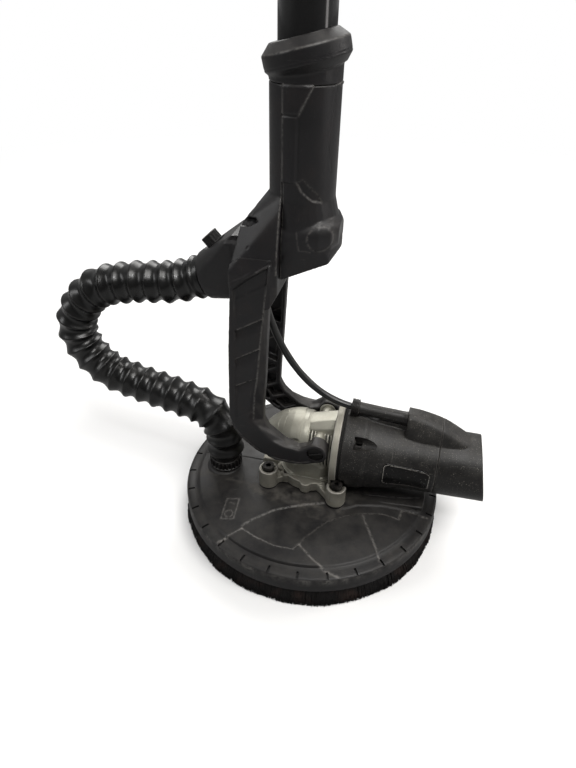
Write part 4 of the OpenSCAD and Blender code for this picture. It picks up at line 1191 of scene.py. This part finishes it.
# ---------------------------------------------------------------- yoke
# (x, z) outlines of an arm: its +X edge at the inner and outer faces, the eye, the -X edge
ARM_INNER = [(-32, 240), (-34, 203), (-36.2, 156), (-38.2, 125), (-38.6, 110), (-34, 100.6),
             (-20, 89), (-8, 84.2), (0, 87)]
ARM_OUTER = [(-31.6, 252), (-36.5, 211.5), (-42.5, 159), (-47.3, 133), (-49.4, 112),
             (-44.4, 107), (-30.4, 91.9), (-18, 87.2), (-6, 85.6)]
EYE = [(PIVOT_X + 10 * math.cos(math.radians(a)), PIVOT_Z + 10 * math.sin(math.radians(a)))
       for a in range(110, -91, -20)]
ARM_BACK = [(0, 71), (-11, 69.2), (-27, 70), (-44, 77.8), (-57, 89), (-63.8, 98.5),
            (-67.3, 112), (-65, 178), (-61.6, 228), (-61, 236)]
# (x, z) relief on the arms' outer faces
ARM_PANEL = [(-58.4, 231), (-47.2, 240.5), (-32.6, 251), (-33.9, 235.7), (-36.7, 209.7),
             (-39.4, 183.4), (-42.1, 154), (-44.5, 138.2), (-46.6, 120), (-60.8, 111),
             (-60.4, 131.2), (-59.9, 150.7), (-59.4, 169.4), (-58.5, 204)]
SHOULDER = [(-70, 226), (-59, 233.2), (-47.2, 242.9), (-31.7, 254.9), (-20, 264), (-20, 320),
            (-130, 320), (-130, 200)]
LIP = [(-66, 108), (-63, 100.5), (-56, 91), (-44.1, 80.4), (-34.6, 74), (-20, 72.4),
       (-6.9, 72.1), (4, 75.3)]
SHOULDER_GROOVES = [
    [(-66.5, 290), (-62.0, 270), (-64.0, 259), (-63.4, 247)],
    [(-62.5, 292), (-58.0, 274), (-60.0, 263), (-60.2, 250)],
    [(-58.0, 294), (-53.6, 279), (-55.6, 268), (-55.8, 256)],
    [(-52.5, 296), (-48.6, 283), (-50.4, 273), (-49.0, 262)],
]
ARM_POCKETS = [  # sunk cells between ribs on the arms' inner faces
    [(-37.2, 205), (-58.6, 214), (-60.8, 182), (-38.6, 172)],
    [(-38.9, 167), (-61.0, 177), (-62.6, 140), (-41.4, 131)],
    [(-41.8, 126), (-62.8, 134), (-64.0, 113), (-55.5, 118)],
    [(-42.4, 120), (-53.5, 114.5), (-51, 103), (-42.6, 108)],
    [(-63.6, 109.5), (-55.5, 114.0), (-53.5, 101.5), (-60.0, 97.2)],
    [(-50.8, 99.5), (-40.5, 105.3), (-34.5, 95.5), (-45.5, 91.5)],
    [(-57.6, 94.0), (-52.2, 97.2), (-47.6, 89.0), (-50.5, 87.2)],
    [(-43.6, 88.2), (-32.4, 92.8), (-22.5, 85.6), (-34.0, 79.6)],
    [(-47.6, 84.6), (-44.6, 86.0), (-36.5, 78.6), (-40.0, 79.2)],
    [(-31.0, 78.6), (-19.6, 84.2), (-9.5, 80.2), (-13.0, 73.2), (-27.0, 73.6)],
]
ARM_SCUFFS = [  # weight, line
    (1.0, [(-56.8, 197.7), (-36.7, 209.7)]), (0.95, [(-59, 170.9), (-39.4, 183.4)]),
    (0.9, [(-59.3, 145.1), (-42.1, 154.9)]),
    (0.45, [(-33.9, 235.7), (-36.7, 209.7), (-39.4, 183.4), (-42.1, 154), (-44.5, 138.2),
            (-46.1, 112)]),
    (0.35, LIP[1:]),
]


def pole_bores():
    return [rod((POLE_X, 0, 285), (POLE_X, 0, 385), POLE_BORE, sides=96),
            rod((POLE_X, 0, 256), (POLE_X, 0, 306), 15, sides=64)]


def arm_relief(side):
    """Sunk panel with three slanted steps, raised shoulder, and a line inside the lip."""
    slant = side[:, 1] - 0.6 * (side[:, 0] + 60)
    level = np.zeros(len(side))
    for top, end in ((195.8, 185), (170.6, 158.5), (144.5, 132)):
        t = np.clip((top - slant) / (top - end), 0, 1)
        step = -1.9 * (1 - t * t * (3 - 2 * t)) * ramp(slant - top + 0.5, 1.0)
        level = np.where((slant <= top) & (slant > end), step, level)
    level = np.where((slant > 195.8) & (slant <= 222),
                     -0.9 * np.clip((slant - 200) / 18, 0, 1), level)
    level = np.where(slant > 222, -1.5, level)
    height = panel(side, ARM_PANEL, 1.2) * (-0.75 + level)
    shoulder = panel(side, SHOULDER, 1.6)
    height = (height * (1 - shoulder)
              + 0.9 * shoulder * np.clip((side[:, 1] - 226) / 12, 0, 1))
    return height - 0.7 * groove(side, LIP, 0.35, 1.1)


def build_fork():
    ob = copy_cad("yoke_fork", "yoke_body")
    arms = [loft([[(x, s * 38.0, z) for x, z in ARM_OUTER + EYE + ARM_BACK],
                  [(x, s * 32.2, z) for x, z in ARM_INNER + EYE + ARM_BACK]]) for s in SIDES]
    boolean(ob, arms, "UNION")
    boolean(ob, [block(-26.6, 60, -60, 60, 200, 400)] + pole_bores())
    boolean(ob, [prism(cell, *sorted((s * 24.0, s * 33.5))) for s in SIDES
                 for cell in ARM_POCKETS])
    voxel(ob, 0.85, 3, quick_size=1.1)
    verts, normal = read_shape(ob)
    outer_face = (np.abs(normal[:, 1]) > 0.5) & (np.abs(verts[:, 1]) > 34)
    push(ob, verts, normal, np.where(outer_face, arm_relief(verts[:, [0, 2]]), 0))

    verts, normal = read_shape(ob)
    x, y, z = verts.T
    side = verts[:, [0, 2]]
    across, up = np.abs(normal[:, 1]), normal[:, 2]
    distance = np.full(len(side), 1e9)
    for line in SHOULDER_GROOVES:
        distance = np.minimum(distance, line_distance(side, line))
    # off the rounded corners, where the grooves would smear
    flat = (across > 0.85) | ((up > 0.45) & (across < 0.5))
    grooved = (x < -44) & (z > 240) & ((up > 0.1) | (across > 0.3)) & flat
    push(ob, verts, normal, np.where(grooved, -0.5 * np.exp(-(distance / 1.1) ** 2), 0))

    wear = np.zeros(len(side))
    for weight, line in ARM_SCUFFS:
        wear = np.maximum(wear, weight * scuff(side, line, 0.55))
    wear = np.where(np.abs(y) > 33, wear, 0)
    seam = 0.55 * stripe(x, -27.4, 0.3, 0.7) * (z > 245)
    ledge = (up > 0.2) & (z < 125) & (x > -50)
    inner_edge = (normal[:, 0] > 0.5) & (z > 100) & (z < 235)
    mark(ob, wear=np.maximum(wear, seam) * np.where(y < 0, 1, 0.6),
         dust=0.6 * ledge * np.clip(up, 0, 1) + 0.25 * inner_edge)
    boolean(ob, [rod((PIVOT_X, s * start, PIVOT_Z), (PIVOT_X, s * end, PIVOT_Z), r, sides=64)
                 for s in SIDES for start, end, r in ((24, 34, 7.0), (33.9, 42, 7.25))])
    finish(sharpen(ob, 50), "wand", "yoke_plastic", "yoke_fork")


COVER_BULGE = [  # x, half width, middle z, half height
    (-26.4, 26.8, 262, 22), (-12, 27.4, 266, 19.5), (0, 25.5, 268.5, 16.0),
    (8, 20.0, 269, 12.5), (12, 11, 269, 8),
]
# (x, z) relief on the cover, and the line of painted shadow beside the chevron
CHEVRON = [(-30, 347), (-16, 347), (-5.5, 367), (9, 361), (30, 352), (30, 400), (-30, 400)]
COVER_BAND = [(-30, 306), (-17, 306), (-17, 346), (-30, 346)]
COVER_LEAF = [(-16.5, 306.5), (-12, 308.5), (-2.5, 298), (-0.2, 293), (-6, 294.5), (-13, 300.5)]
COVER_SHADOW_LINE = [(-16.0, 307), (-15.4, 346), (-5.2, 366), (8.6, 360.4)]


def build_cover():
    ob = copy_cad("yoke_front_cover", "yoke_cover")
    boolean(ob, [loft([ellipse_ring(*row, 2.6, 60) for row in COVER_BULGE])], "UNION")
    boolean(ob, [block(-126.5, -26.5, -60, 60, 200, 400)] + pole_bores())
    voxel(ob, 0.75, 3, quick_size=1.0)
    verts, normal = read_shape(ob)
    x, y, z = verts.T
    side = verts[:, [0, 2]]
    outer = np.hypot(x - POLE_X, y) > 20.5
    from_ring = np.abs(np.hypot(side[:, 0] - 1.0, side[:, 1] - 270) - 8.5)
    height = (1.3 * panel(side, CHEVRON, 1.3) + 1.1 * panel(side, COVER_BAND, 1.3)
              - 1.1 * panel(side, COVER_LEAF, 1.2))
    height = (height - 0.25 * ramp(from_ring - 0.3, 0.9)
              - 0.3 * groove(side, [(-24, 283), (-15, 282)], 0.2, 0.8)
              - 0.35 * groove(side, [(4.5, 361.5), (1.5, 330), (4, 312)], 0.2, 1.0))
    push(ob, verts, normal, height * outer)
    wear = (0.4 * scuff(side, CHEVRON[1:4], 0.7) + 0.3 * scuff(side, COVER_LEAF, 0.6, True)
            + 0.35 * stripe(x, -25.8, 0.3, 0.7))
    wear += (0.25 * np.exp(-(from_ring / 0.7) ** 2)
             + 0.22 * scuff(side, [(-15.5, 276), (-13, 262), (-5, 261)], 0.45))
    # painted shadow along the chevron's edge, on the near side only
    shadow_line = 0.7 * scuff(side, COVER_SHADOW_LINE, 0.7) * (y < 0)
    mark(ob, wear=np.clip(wear * outer, 0, 0.8), dark=np.clip(shadow_line * outer, 0, 0.8))
    finish(ob, "wand", "yoke_plastic", "yoke_front_cover")


def build_socket_collar():
    """Collar round the pole with a slanted lip and a shallow line below it."""
    ob = copy_cad("socket_collar", "pole_collar")
    voxel(ob, 0.7, 4, quick_size=0.9)
    verts, normal = read_shape(ob)
    tilt = math.radians(13.8)
    axis = np.array([math.sin(-tilt), 0, math.cos(tilt)])
    offset = verts - np.array([POLE_X, 0, 378])
    along = offset @ axis
    radius = np.linalg.norm(offset - along[:, None] * axis, axis=1)
    push(ob, verts, normal, np.where(radius > 21, -0.35 * stripe(along, -3.4, 0.3, 1.0), 0))
    mark(ob, wear=0.35 * stripe(along, 4.2, 0.4, 1.2) * (radius > 26),
         dust=0.35 * (normal[:, 2] > 0.3))
    finish(ob, "wand", "yoke_plastic", "socket_collar")


def build_knob():
    """Round knob tilted towards -X, fluted 14 times."""
    ob = copy_cad("hose_release_knob", "knob_body")
    voxel(ob, 0.4, 12)
    verts, normal = read_shape(ob)
    tilt = math.radians(42)
    axis = np.array([-math.sin(tilt), 0, math.cos(tilt)])
    across = np.array([math.cos(tilt), 0, math.sin(tilt)])
    offset = verts - np.array([-83.5, 0, 249.5])
    along = offset @ axis
    radial = offset - along[:, None] * axis
    angle = np.arctan2(radial[:, 1], radial @ across)
    rim = (along > 1.5) & (along < 8) & (np.linalg.norm(radial, axis=1) > 6)
    push(ob, verts, normal, np.where(rim, -0.35 * (0.5 + 0.5 * np.cos(14 * angle)), 0))
    finish(ob, "knob", "charcoal_dark", "hose_release_knob")


def build_pivot_screws():
    profile = [(0, 15), (3.95, 15), (3.95, 34), (6.9, 34), (6.9, 36.3), (6.5, 36.9),
               (5.6, 37.2), (0, 37.2)]  # (radius, distance from the middle)
    for s, word, replaced in ((-1, "near", ["pivot_screws"]), (1, "far", [])):
        screw = lathe(profile, 48, "Y", (PIVOT_X, 0, PIVOT_Z), False, "pivot_screw_" + word)
        if s < 0:
            write_points(screw, read_points(screw) * (1, -1, 1))
        tidy(screw)
        slot_cut = rod((PIVOT_X - 8, s * 37.6, PIVOT_Z - 3.0),
                       (PIVOT_X + 8, s * 37.6, PIVOT_Z + 3.0), 1.0, sides=4)
        boolean(screw, [slot_cut])
        finish(sharpen(screw, 35), "head", "black_oxide", *replaced)


# ---------------------------------------------------------------- pole
def build_pole():
    """Two thin tubes, the upper sliding over the lower."""
    lower = [(17.6, 286), (18, 286.5), (18, 1029.3), (17.7, 1030), (16.7, 1030),
             (16.4, 1029.6), (16.4, 286.4), (16.7, 286)]
    upper = [(19.6, 505), (20.05, 505.5), (20.05, 1204.4), (19.7, 1205), (18.4, 1205),
             (18.05, 1204.6), (18.05, 505.5), (18.4, 505)]
    for word, profile, body, material in (("lower", lower, "wand", "pole_metal"),
                                          ("upper", upper, "upper_pole", "pole_metal_upper")):
        tube = lathe(profile, 128, "Z", (POLE_X, 0, 0), name="pole_" + word)
        finish(tube, body, material, word + "_tube")


def about_pole(ob):
    """Vertices, radius from the pole's axis, outward direction, and angle in degrees."""
    verts = read_points(ob)
    offset = verts[:, :2] - np.array((POLE_X, 0))
    r = np.hypot(offset[:, 0], offset[:, 1])
    outward = np.stack([offset[:, 0] / r, offset[:, 1] / r, np.zeros(len(r))], 1)
    return verts, r, outward, np.degrees(np.arctan2(offset[:, 1], offset[:, 0]))


def build_lock():
    collar = copy_cad("lock_collar", "lock_collar_body")
    voxel(collar, 0.75, 2, quick_size=1.0)
    verts, radius, outward, angle = about_pole(collar)
    z = verts[:, 2]
    ribbed = (radius > 22.5) & (np.abs(angle) > 40) & (z > 485) & (z < 536)
    push(collar, verts, outward, 0.9 * ribbed * stripe(z % 6, 3, 1.2, 0.8))
    finish(collar, "upper_pole", "handle_plastic", "lock_collar")
    lever = copy_cad("lock_lever", "lock_lever_body")
    voxel(lever, 0.5, 2)
    verts, normal = read_shape(lever)
    z = verts[:, 2]
    thumb = (normal[:, 0] > 0.6) & (z < 484)
    push(lever, verts, normal, np.where(thumb, -0.5 * stripe(z % 4, 2, 0.8, 0.6), 0))
    finish(lever, "lever", "red_plastic", "lock_lever")


def build_grip():
    """Foam sleeve with ten rounded rings."""
    rings = 10
    profile = [(20.1, 640.2), (21.6, 640), (22.6, 640.6), (23, 641.6)]
    for i in range(rings):
        z = 648 + i * 14
        for t in (k / 8 for k in range(9)):
            profile.append((23.0 + 1.0 * math.sin(t * math.pi) ** 0.6, z + 8 * t))
        if i < rings - 1:
            profile += [(23.0, z + 9.5), (23.0, z + 12.5)]
    profile += [(23, 787.5), (22.7, 789), (21.8, 789.9), (20.1, 790)]
    profile = profile[:1] + [p for last, p in zip(profile, profile[1:])
                             if math.dist(p, last) > 0.05]
    ob = lathe(profile, 110, "Z", (POLE_X, 0, 0), name="grip_sleeve")
    verts, radius, outward, angle = about_pole(ob)
    rough = value_noise(np.stack([angle * 0.6, verts[:, 2]], 1), 21, 2.0) - 0.5
    push(ob, verts, outward, 0.22 * rough * (radius > 21))
    finish(ob, "upper_pole", "grip_foam", "front_grip")


HANDLE_BASE = 890  # z the handle's relief is measured from
HANDLE_INLAY = [(-26, 18), (22, 18), (30, 60), (29, 96), (18, 118), (20, 196), (8, 214),
                (-20, 206), (-26, 150), (-30, 100)]
DOT_PITCH, DOT_ROW = 6, 5.2


def build_handles():
    """Handle halves with a raised dotted inlay and five slanted vents, painted dark inside as
    shade.
    """
    for word, s in (("left", -1), ("right", 1)):
        ob = copy_cad("handle_shell_" + word, "handle_" + word)
        voxel(ob, 0.95, 3, quick_size=1.3)
        verts, normal = read_shape(ob)
        side = np.stack([verts[:, 0] - POLE_X, verts[:, 2] - HANDLE_BASE], 1)
        u, v = side.T
        outer = (np.hypot(u, verts[:, 1]) > 22.8) & (normal[:, 1] * s > 0.25)
        inlay = signed_distance(side, HANDLE_INLAY)
        # every other row of dots is shifted by half a pitch
        shift = DOT_PITCH / 2 * (np.floor(v / DOT_ROW) % 2)
        from_dot = np.hypot((u + shift) % DOT_PITCH - DOT_PITCH / 2, v % DOT_ROW - DOT_ROW / 2)
        dots = 0.5 * ramp(from_dot - 1.3, 0.8)
        height = 0.5 * ramp(inlay, 1.4) + dots * ramp(inlay + 5, 2.0)
        vents = 0.0
        for z in (i * 7.5 for i in range(5)):
            vents = vents - 1.3 * groove(side, [(-14, 228 + z), (12, 232 + z)], 1.0, 1.0)
        push(ob, verts, normal, np.where(outer, height + vents, 0))
        # painted shade in the vents, darker where they are cut deeper
        mark(ob, dark=np.where(outer, np.clip(-vents * 0.5, 0, 0.8), 0), dust=0.12 * outer)
        finish(ob, "upper_pole", "handle_plastic", "handle_shell_" + word)


def build_controls():
    trigger = copy_cad("trigger", "trigger_body")
    voxel(trigger, 0.5, 3)
    verts, normal = read_shape(trigger)
    z = verts[:, 2]
    ribbed = (normal[:, 0] > 0.5) & (z < 1046)
    push(trigger, verts, normal, np.where(ribbed, -0.45 * stripe(z % 4.2, 2.1, 0.8, 0.7), 0))
    finish(trigger, "trigger_lever", "charcoal_dark", "trigger")
    button = copy_cad("lock_on_button", "lock_button_body")
    voxel(button, 0.35, 2)
    finish(button, "lock_button", "red_plastic", "lock_on_button")
    dial = copy_cad("speed_dial", "speed_dial_body")
    voxel(dial, 0.35, 1)
    finish(dial, "dial", "dial_plastic", "speed_dial")


def build_dust_outlet():
    ob = copy_cad("dust_outlet", "dust_outlet_body")
    voxel(ob, 0.6, 2, quick_size=0.9)
    verts, radius, outward, _ = about_pole(ob)
    z = verts[:, 2]
    grooved = (radius > 18.4) & (z > 1214)
    push(ob, verts, -outward, 0.35 * grooved * stripe(z % 9, 4.5, 0.6, 0.8))
    finish(ob, "outlet", "handle_plastic", "dust_outlet")


def build_power_cord():
    cord_x = POLE_X + 31
    low = 1153.5
    profile = [(3.6, low), (5.4, low), (5.48, low + 0.5), (5.48, low + 21), (6.4, low + 21.6),
               (6.5, low + 22)]
    for i in range(7):  # shrinking ribs
        z = low + 23 + i * 4.4
        r = 6.4 - 0.26 * i
        profile += [(r, z), (r, z + 1.9), (r - 1.1, z + 2.5), (r - 1.1, z + 3.9)]
    profile += [(4.7, low + 54.2), (4.5, low + 55.4), (3.6, low + 55.5)]
    boot = lathe(profile, 48, "Z", (cord_x, 0, 0), name="cord_boot")
    finish(boot, "upper_pole", "cord_rubber", "cord_sleeve")
    steps = range(61)
    cord = sweep([(cord_x, 0, 1154 + i * 1.5) for i in steps],
                 [3.5 + 0.04 * math.sin(i * 0.9) for i in steps], 24, "cord_jacket")
    finish(cord, "upper_pole", "cord_rubber", "power_cord")


# ---------------------------------------------------------------- pad and bearings
def build_pad():
    ob = copy_cad("foam_pad", "foam_layer")
    voxel(ob, 1.5, 1, quick_size=2.2)
    verts, normal = read_shape(ob)
    rough = value_noise(verts[:, :2] + verts[:, 2:3] * 3.1, 31, 2.4) - 0.5
    push(ob, verts, normal, 0.12 * rough * (np.abs(normal[:, 2]) < 0.5))
    finish(ob, "pad", "foam", "foam_pad")


def bearing(bore, outer, low, high, name):
    """Bearing with its two rings standing proud of the sunk shield."""
    wall = (outer - bore) * 0.24
    a, b = bore + wall, outer - wall
    profile = [(bore, low + 0.2), (bore + 0.2, low), (a, low), (a + 0.15, low + 0.5),
               (b - 0.15, low + 0.5), (b, low), (outer - 0.2, low), (outer, low + 0.2),
               (outer, high - 0.2), (outer - 0.2, high), (b, high), (b - 0.15, high - 0.5),
               (a + 0.15, high - 0.5), (a, high), (bore + 0.2, high), (bore, high - 0.2)]
    return lathe(profile, 96, name=name)


def build_bearings():
    finish(bearing(6.2, 16.0, 35, 43, "bearing_lower"), "head", "steel", "spindle_bearings",
           slot="bearing_steel")
    finish(bearing(4.2, 7.5, 73, 80.8, "bearing_upper"), "head", "steel", slot="bearing_steel")


# ---------------------------------------------------------------- CAD nodes that stay in view
CAD_LOOKS = [  # material, slot (None for the material's own), nodes
    ("bush_rubber", None, "mount_bushes motor_gasket"),
    ("flange_alloy", "cast_alloy", "bearing_plate"),
    ("cast_alloy", None, "gear_housing"),
    ("flange_alloy", None, "gear_case_flange"),
    ("black_oxide", None, "post_screws motor_screws pivot_screws yoke_screws"),
    ("steel", None, "spindle motor_shaft pad_bolt lever_pin handle_screws"),
    ("steel", "bearing_steel", "spindle_bearings motor_bearings"),
    ("gear_steel", None, "crown_gear pinion"),
    ("iron_core", None, "armature_core"),
    ("copper", None, "commutator stator"),
    ("fan_plastic", None, "cooling_fan switch_module"),
    ("carbon", None, "carbon_brushes"),
    ("brass", None, "brush_boxes pivot_bushes"),
    ("motor_plastic", None, "motor_housing motor_end_cap"),
    ("label_gloss", None, "label_plate"),
    ("cord_rubber", None, "cable_sleeve cable_clip cord_sleeve power_cord"),
    ("hose_ring", None, "dust_port_ring"),
    ("pad_plastic", None, "pad_plate"),
    ("abrasive", None, "abrasive_disc"),
    ("charcoal_dark", None, "brush_holder hose_release_knob trigger"),
    ("yoke_plastic", None, "yoke_fork yoke_front_cover socket_collar"),
    ("pole_metal", None, "lower_tube"),
    ("pole_metal_upper", None, "upper_tube"),
    ("handle_plastic", None, "lock_collar handle_shell_left handle_shell_right dust_outlet"),
    ("red_plastic", None, "lock_lever lock_on_button"),
    ("dial_plastic", None, "speed_dial"),
    ("foam", None, "foam_pad"),
    ("grip_foam", None, "front_grip"),
]


def dress_cad_nodes():
    looks = {node: (material, slot) for material, slot, nodes in CAD_LOOKS
             for node in nodes.split()}
    for name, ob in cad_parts.items():
        if not ob.hide_render and name in looks:
            dress(ob, *looks[name])


# ---------------------------------------------------------------- floor, light, camera (metres)
def floor_material():
    s = Shader("floor")
    clouds = s.remap(s.noise(scale=2.5, detail=3), low=0.3, high=0.7)
    paint = s.mix(clouds, (0.80, 0.80, 0.80, 1), (0.84, 0.84, 0.84, 1))
    # darker to the camera than to the light it bounces
    seen = s.node("LightPath").outputs["Is Camera Ray"]
    paint = s.mix(seen, (0.30, 0.30, 0.30, 1), paint)
    s.link(paint, s.surface.inputs["Base Color"])
    s.surface.inputs["Roughness"].default_value = 0.85
    s.surface.inputs["Specular IOR Level"].default_value = 0.2
    # far from the object the floor runs into the white backdrop
    length = s.node("VectorMath")
    length.operation = "LENGTH"
    s.link(s.coords, length.inputs[0])
    far = s.times(s.remap(length.outputs["Value"], low=0.5, high=1.6), seen)
    glow = s.node("Emission")
    glow.inputs[1].default_value = 1.0
    blend = s.node("MixShader")
    s.link(far, blend.inputs[0])
    s.link(s.surface.outputs[0], blend.inputs[1])
    s.link(glow.outputs[0], blend.inputs[2])
    s.link(blend.outputs[0], s.output.inputs[0])
    return s.material


def build_floor():
    mesh = bpy.data.meshes.new("floor")
    cells, half, z = 24, 20.0, -0.0002
    row = cells + 1
    ticks = [-half + 2 * half * i / cells for i in range(row)]
    faces = [(i * row + j, (i + 1) * row + j, (i + 1) * row + j + 1, i * row + j + 1)
             for i in range(cells) for j in range(cells)]
    mesh.from_pydata([(x, y, z) for x in ticks for y in ticks], [], faces)
    ob = bpy.data.objects.new("floor", mesh)
    bpy.context.scene.collection.objects.link(ob)
    ob.data.materials.append(floor_material())


MIDDLE = (0, 0, 0.15)


def area_light(name, azimuth, elevation, distance, size, power, size_y=None,
               color=(1, 1, 1), centre=MIDDLE, target=MIDDLE):
    """Area light placed about a centre; azimuth runs from -Y towards +X, in degrees."""
    light = bpy.data.lights.new(name, "AREA")
    light.energy, light.color, light.size = power, color, size
    if size_y:
        light.shape, light.size_y = "RECTANGLE", size_y
    a, e = math.radians(azimuth), math.radians(elevation)
    place = (centre[0] + distance * math.sin(a) * math.cos(e),
             centre[1] - distance * math.cos(a) * math.cos(e),
             centre[2] + distance * math.sin(e))
    ob = bpy.data.objects.new(name, light)
    ob.location = place
    ob.rotation_mode = "QUATERNION"
    ob.rotation_quaternion = (Vector(target) - Vector(place)).to_track_quat("-Z", "Y")
    bpy.context.scene.collection.objects.link(ob)


def build_lights():
    area_light("key", azimuth=60, elevation=62, distance=1.9, size=1.1, size_y=1.1, power=30,
               color=(1.0, 0.985, 0.96))
    area_light("back", azimuth=195, elevation=40, distance=2.2, size=1.6, size_y=1.2, power=34,
               color=(1.0, 0.99, 0.97))
    area_light("left", azimuth=-62, elevation=35, distance=1.9, size=0.5, size_y=1.3, power=9)
    area_light("right", azimuth=118, elevation=25, distance=2.2, size=0.35, size_y=1.8,
               power=12, color=(1.0, 0.97, 0.94), centre=(0, 0, 0.5), target=(0, 0, 0.4))
    area_light("strip", azimuth=88, elevation=0, distance=1.5, size=0.28, size_y=1.1,
               power=2.2, color=(1.0, 0.96, 0.94), centre=(0, 0, 0.6), target=(0, 0, 0.55))
    area_light("spark", azimuth=25, elevation=55, distance=1.7, size=0.14, power=5.0,
               target=(-0.1, 0, 0.15))


def build_world():
    """White to the camera; as light, dimmer from the near side than from the far side."""
    world = bpy.data.worlds.new("world")
    world.use_nodes = True
    nodes, links = world.node_tree.nodes, world.node_tree.links
    background = nodes["Background"]
    background.inputs[0].default_value = (1, 1, 1, 1)
    light_path = nodes.new("ShaderNodeLightPath")
    strength = nodes.new("ShaderNodeMapRange")
    strength.inputs["To Max"].default_value = 1.0
    links.new(light_path.outputs["Is Camera Ray"], strength.inputs["Value"])
    coords = nodes.new("ShaderNodeTexCoord")
    split = nodes.new("ShaderNodeSeparateXYZ")
    links.new(coords.outputs["Generated"], split.inputs[0])
    ambient = nodes.new("ShaderNodeMapRange")
    for key, number in (("From Min", -0.9), ("From Max", 0.5), ("To Min", 0.12),
                        ("To Max", 0.36)):
        ambient.inputs[key].default_value = number
    links.new(split.outputs["Y"], ambient.inputs["Value"])
    links.new(ambient.outputs[0], strength.inputs["To Min"])
    links.new(strength.outputs[0], background.inputs[1])
    bpy.context.scene.world = world
    bpy.context.scene.view_settings.view_transform = "Standard"


def build_camera():
    """Looks down at the head from the near side."""
    camera = bpy.data.cameras.new("cam")
    ob = bpy.data.objects.new("cam", camera)
    bpy.context.scene.collection.objects.link(ob)
    camera.lens, camera.sensor_width, camera.sensor_fit = 26.25, 36.0, "AUTO"
    camera.clip_start, camera.clip_end = 0.01, 50
    right = (0.971853, 0.2351437, 0.01446307)
    up = (-0.14952922, 0.56823727, 0.80916465)
    backward = (0.18205151, -0.78855174, 0.58740395)
    place = (0.064217, -0.386664, 0.424351)
    ob.matrix_world = Matrix((*zip(right, up, backward, place), (0, 0, 0, 1)))
    bpy.context.scene.camera = ob


build_shroud()
build_shroud_fittings()
build_brush()
build_hose()
build_cable()
build_gear_case()
build_gear_base()
build_flange()
build_motor_housing()
build_motor_cap()
build_label()
build_cable_entry()
build_port_ring()
build_fork()
build_cover()
build_socket_collar()
build_knob()
build_pivot_screws()
build_pole()
build_lock()
build_grip()
build_handles()
build_controls()
build_dust_outlet()
build_power_cord()
build_pad()
build_bearings()
dress_cad_nodes()
build_floor()
build_lights()
build_world()
build_camera()
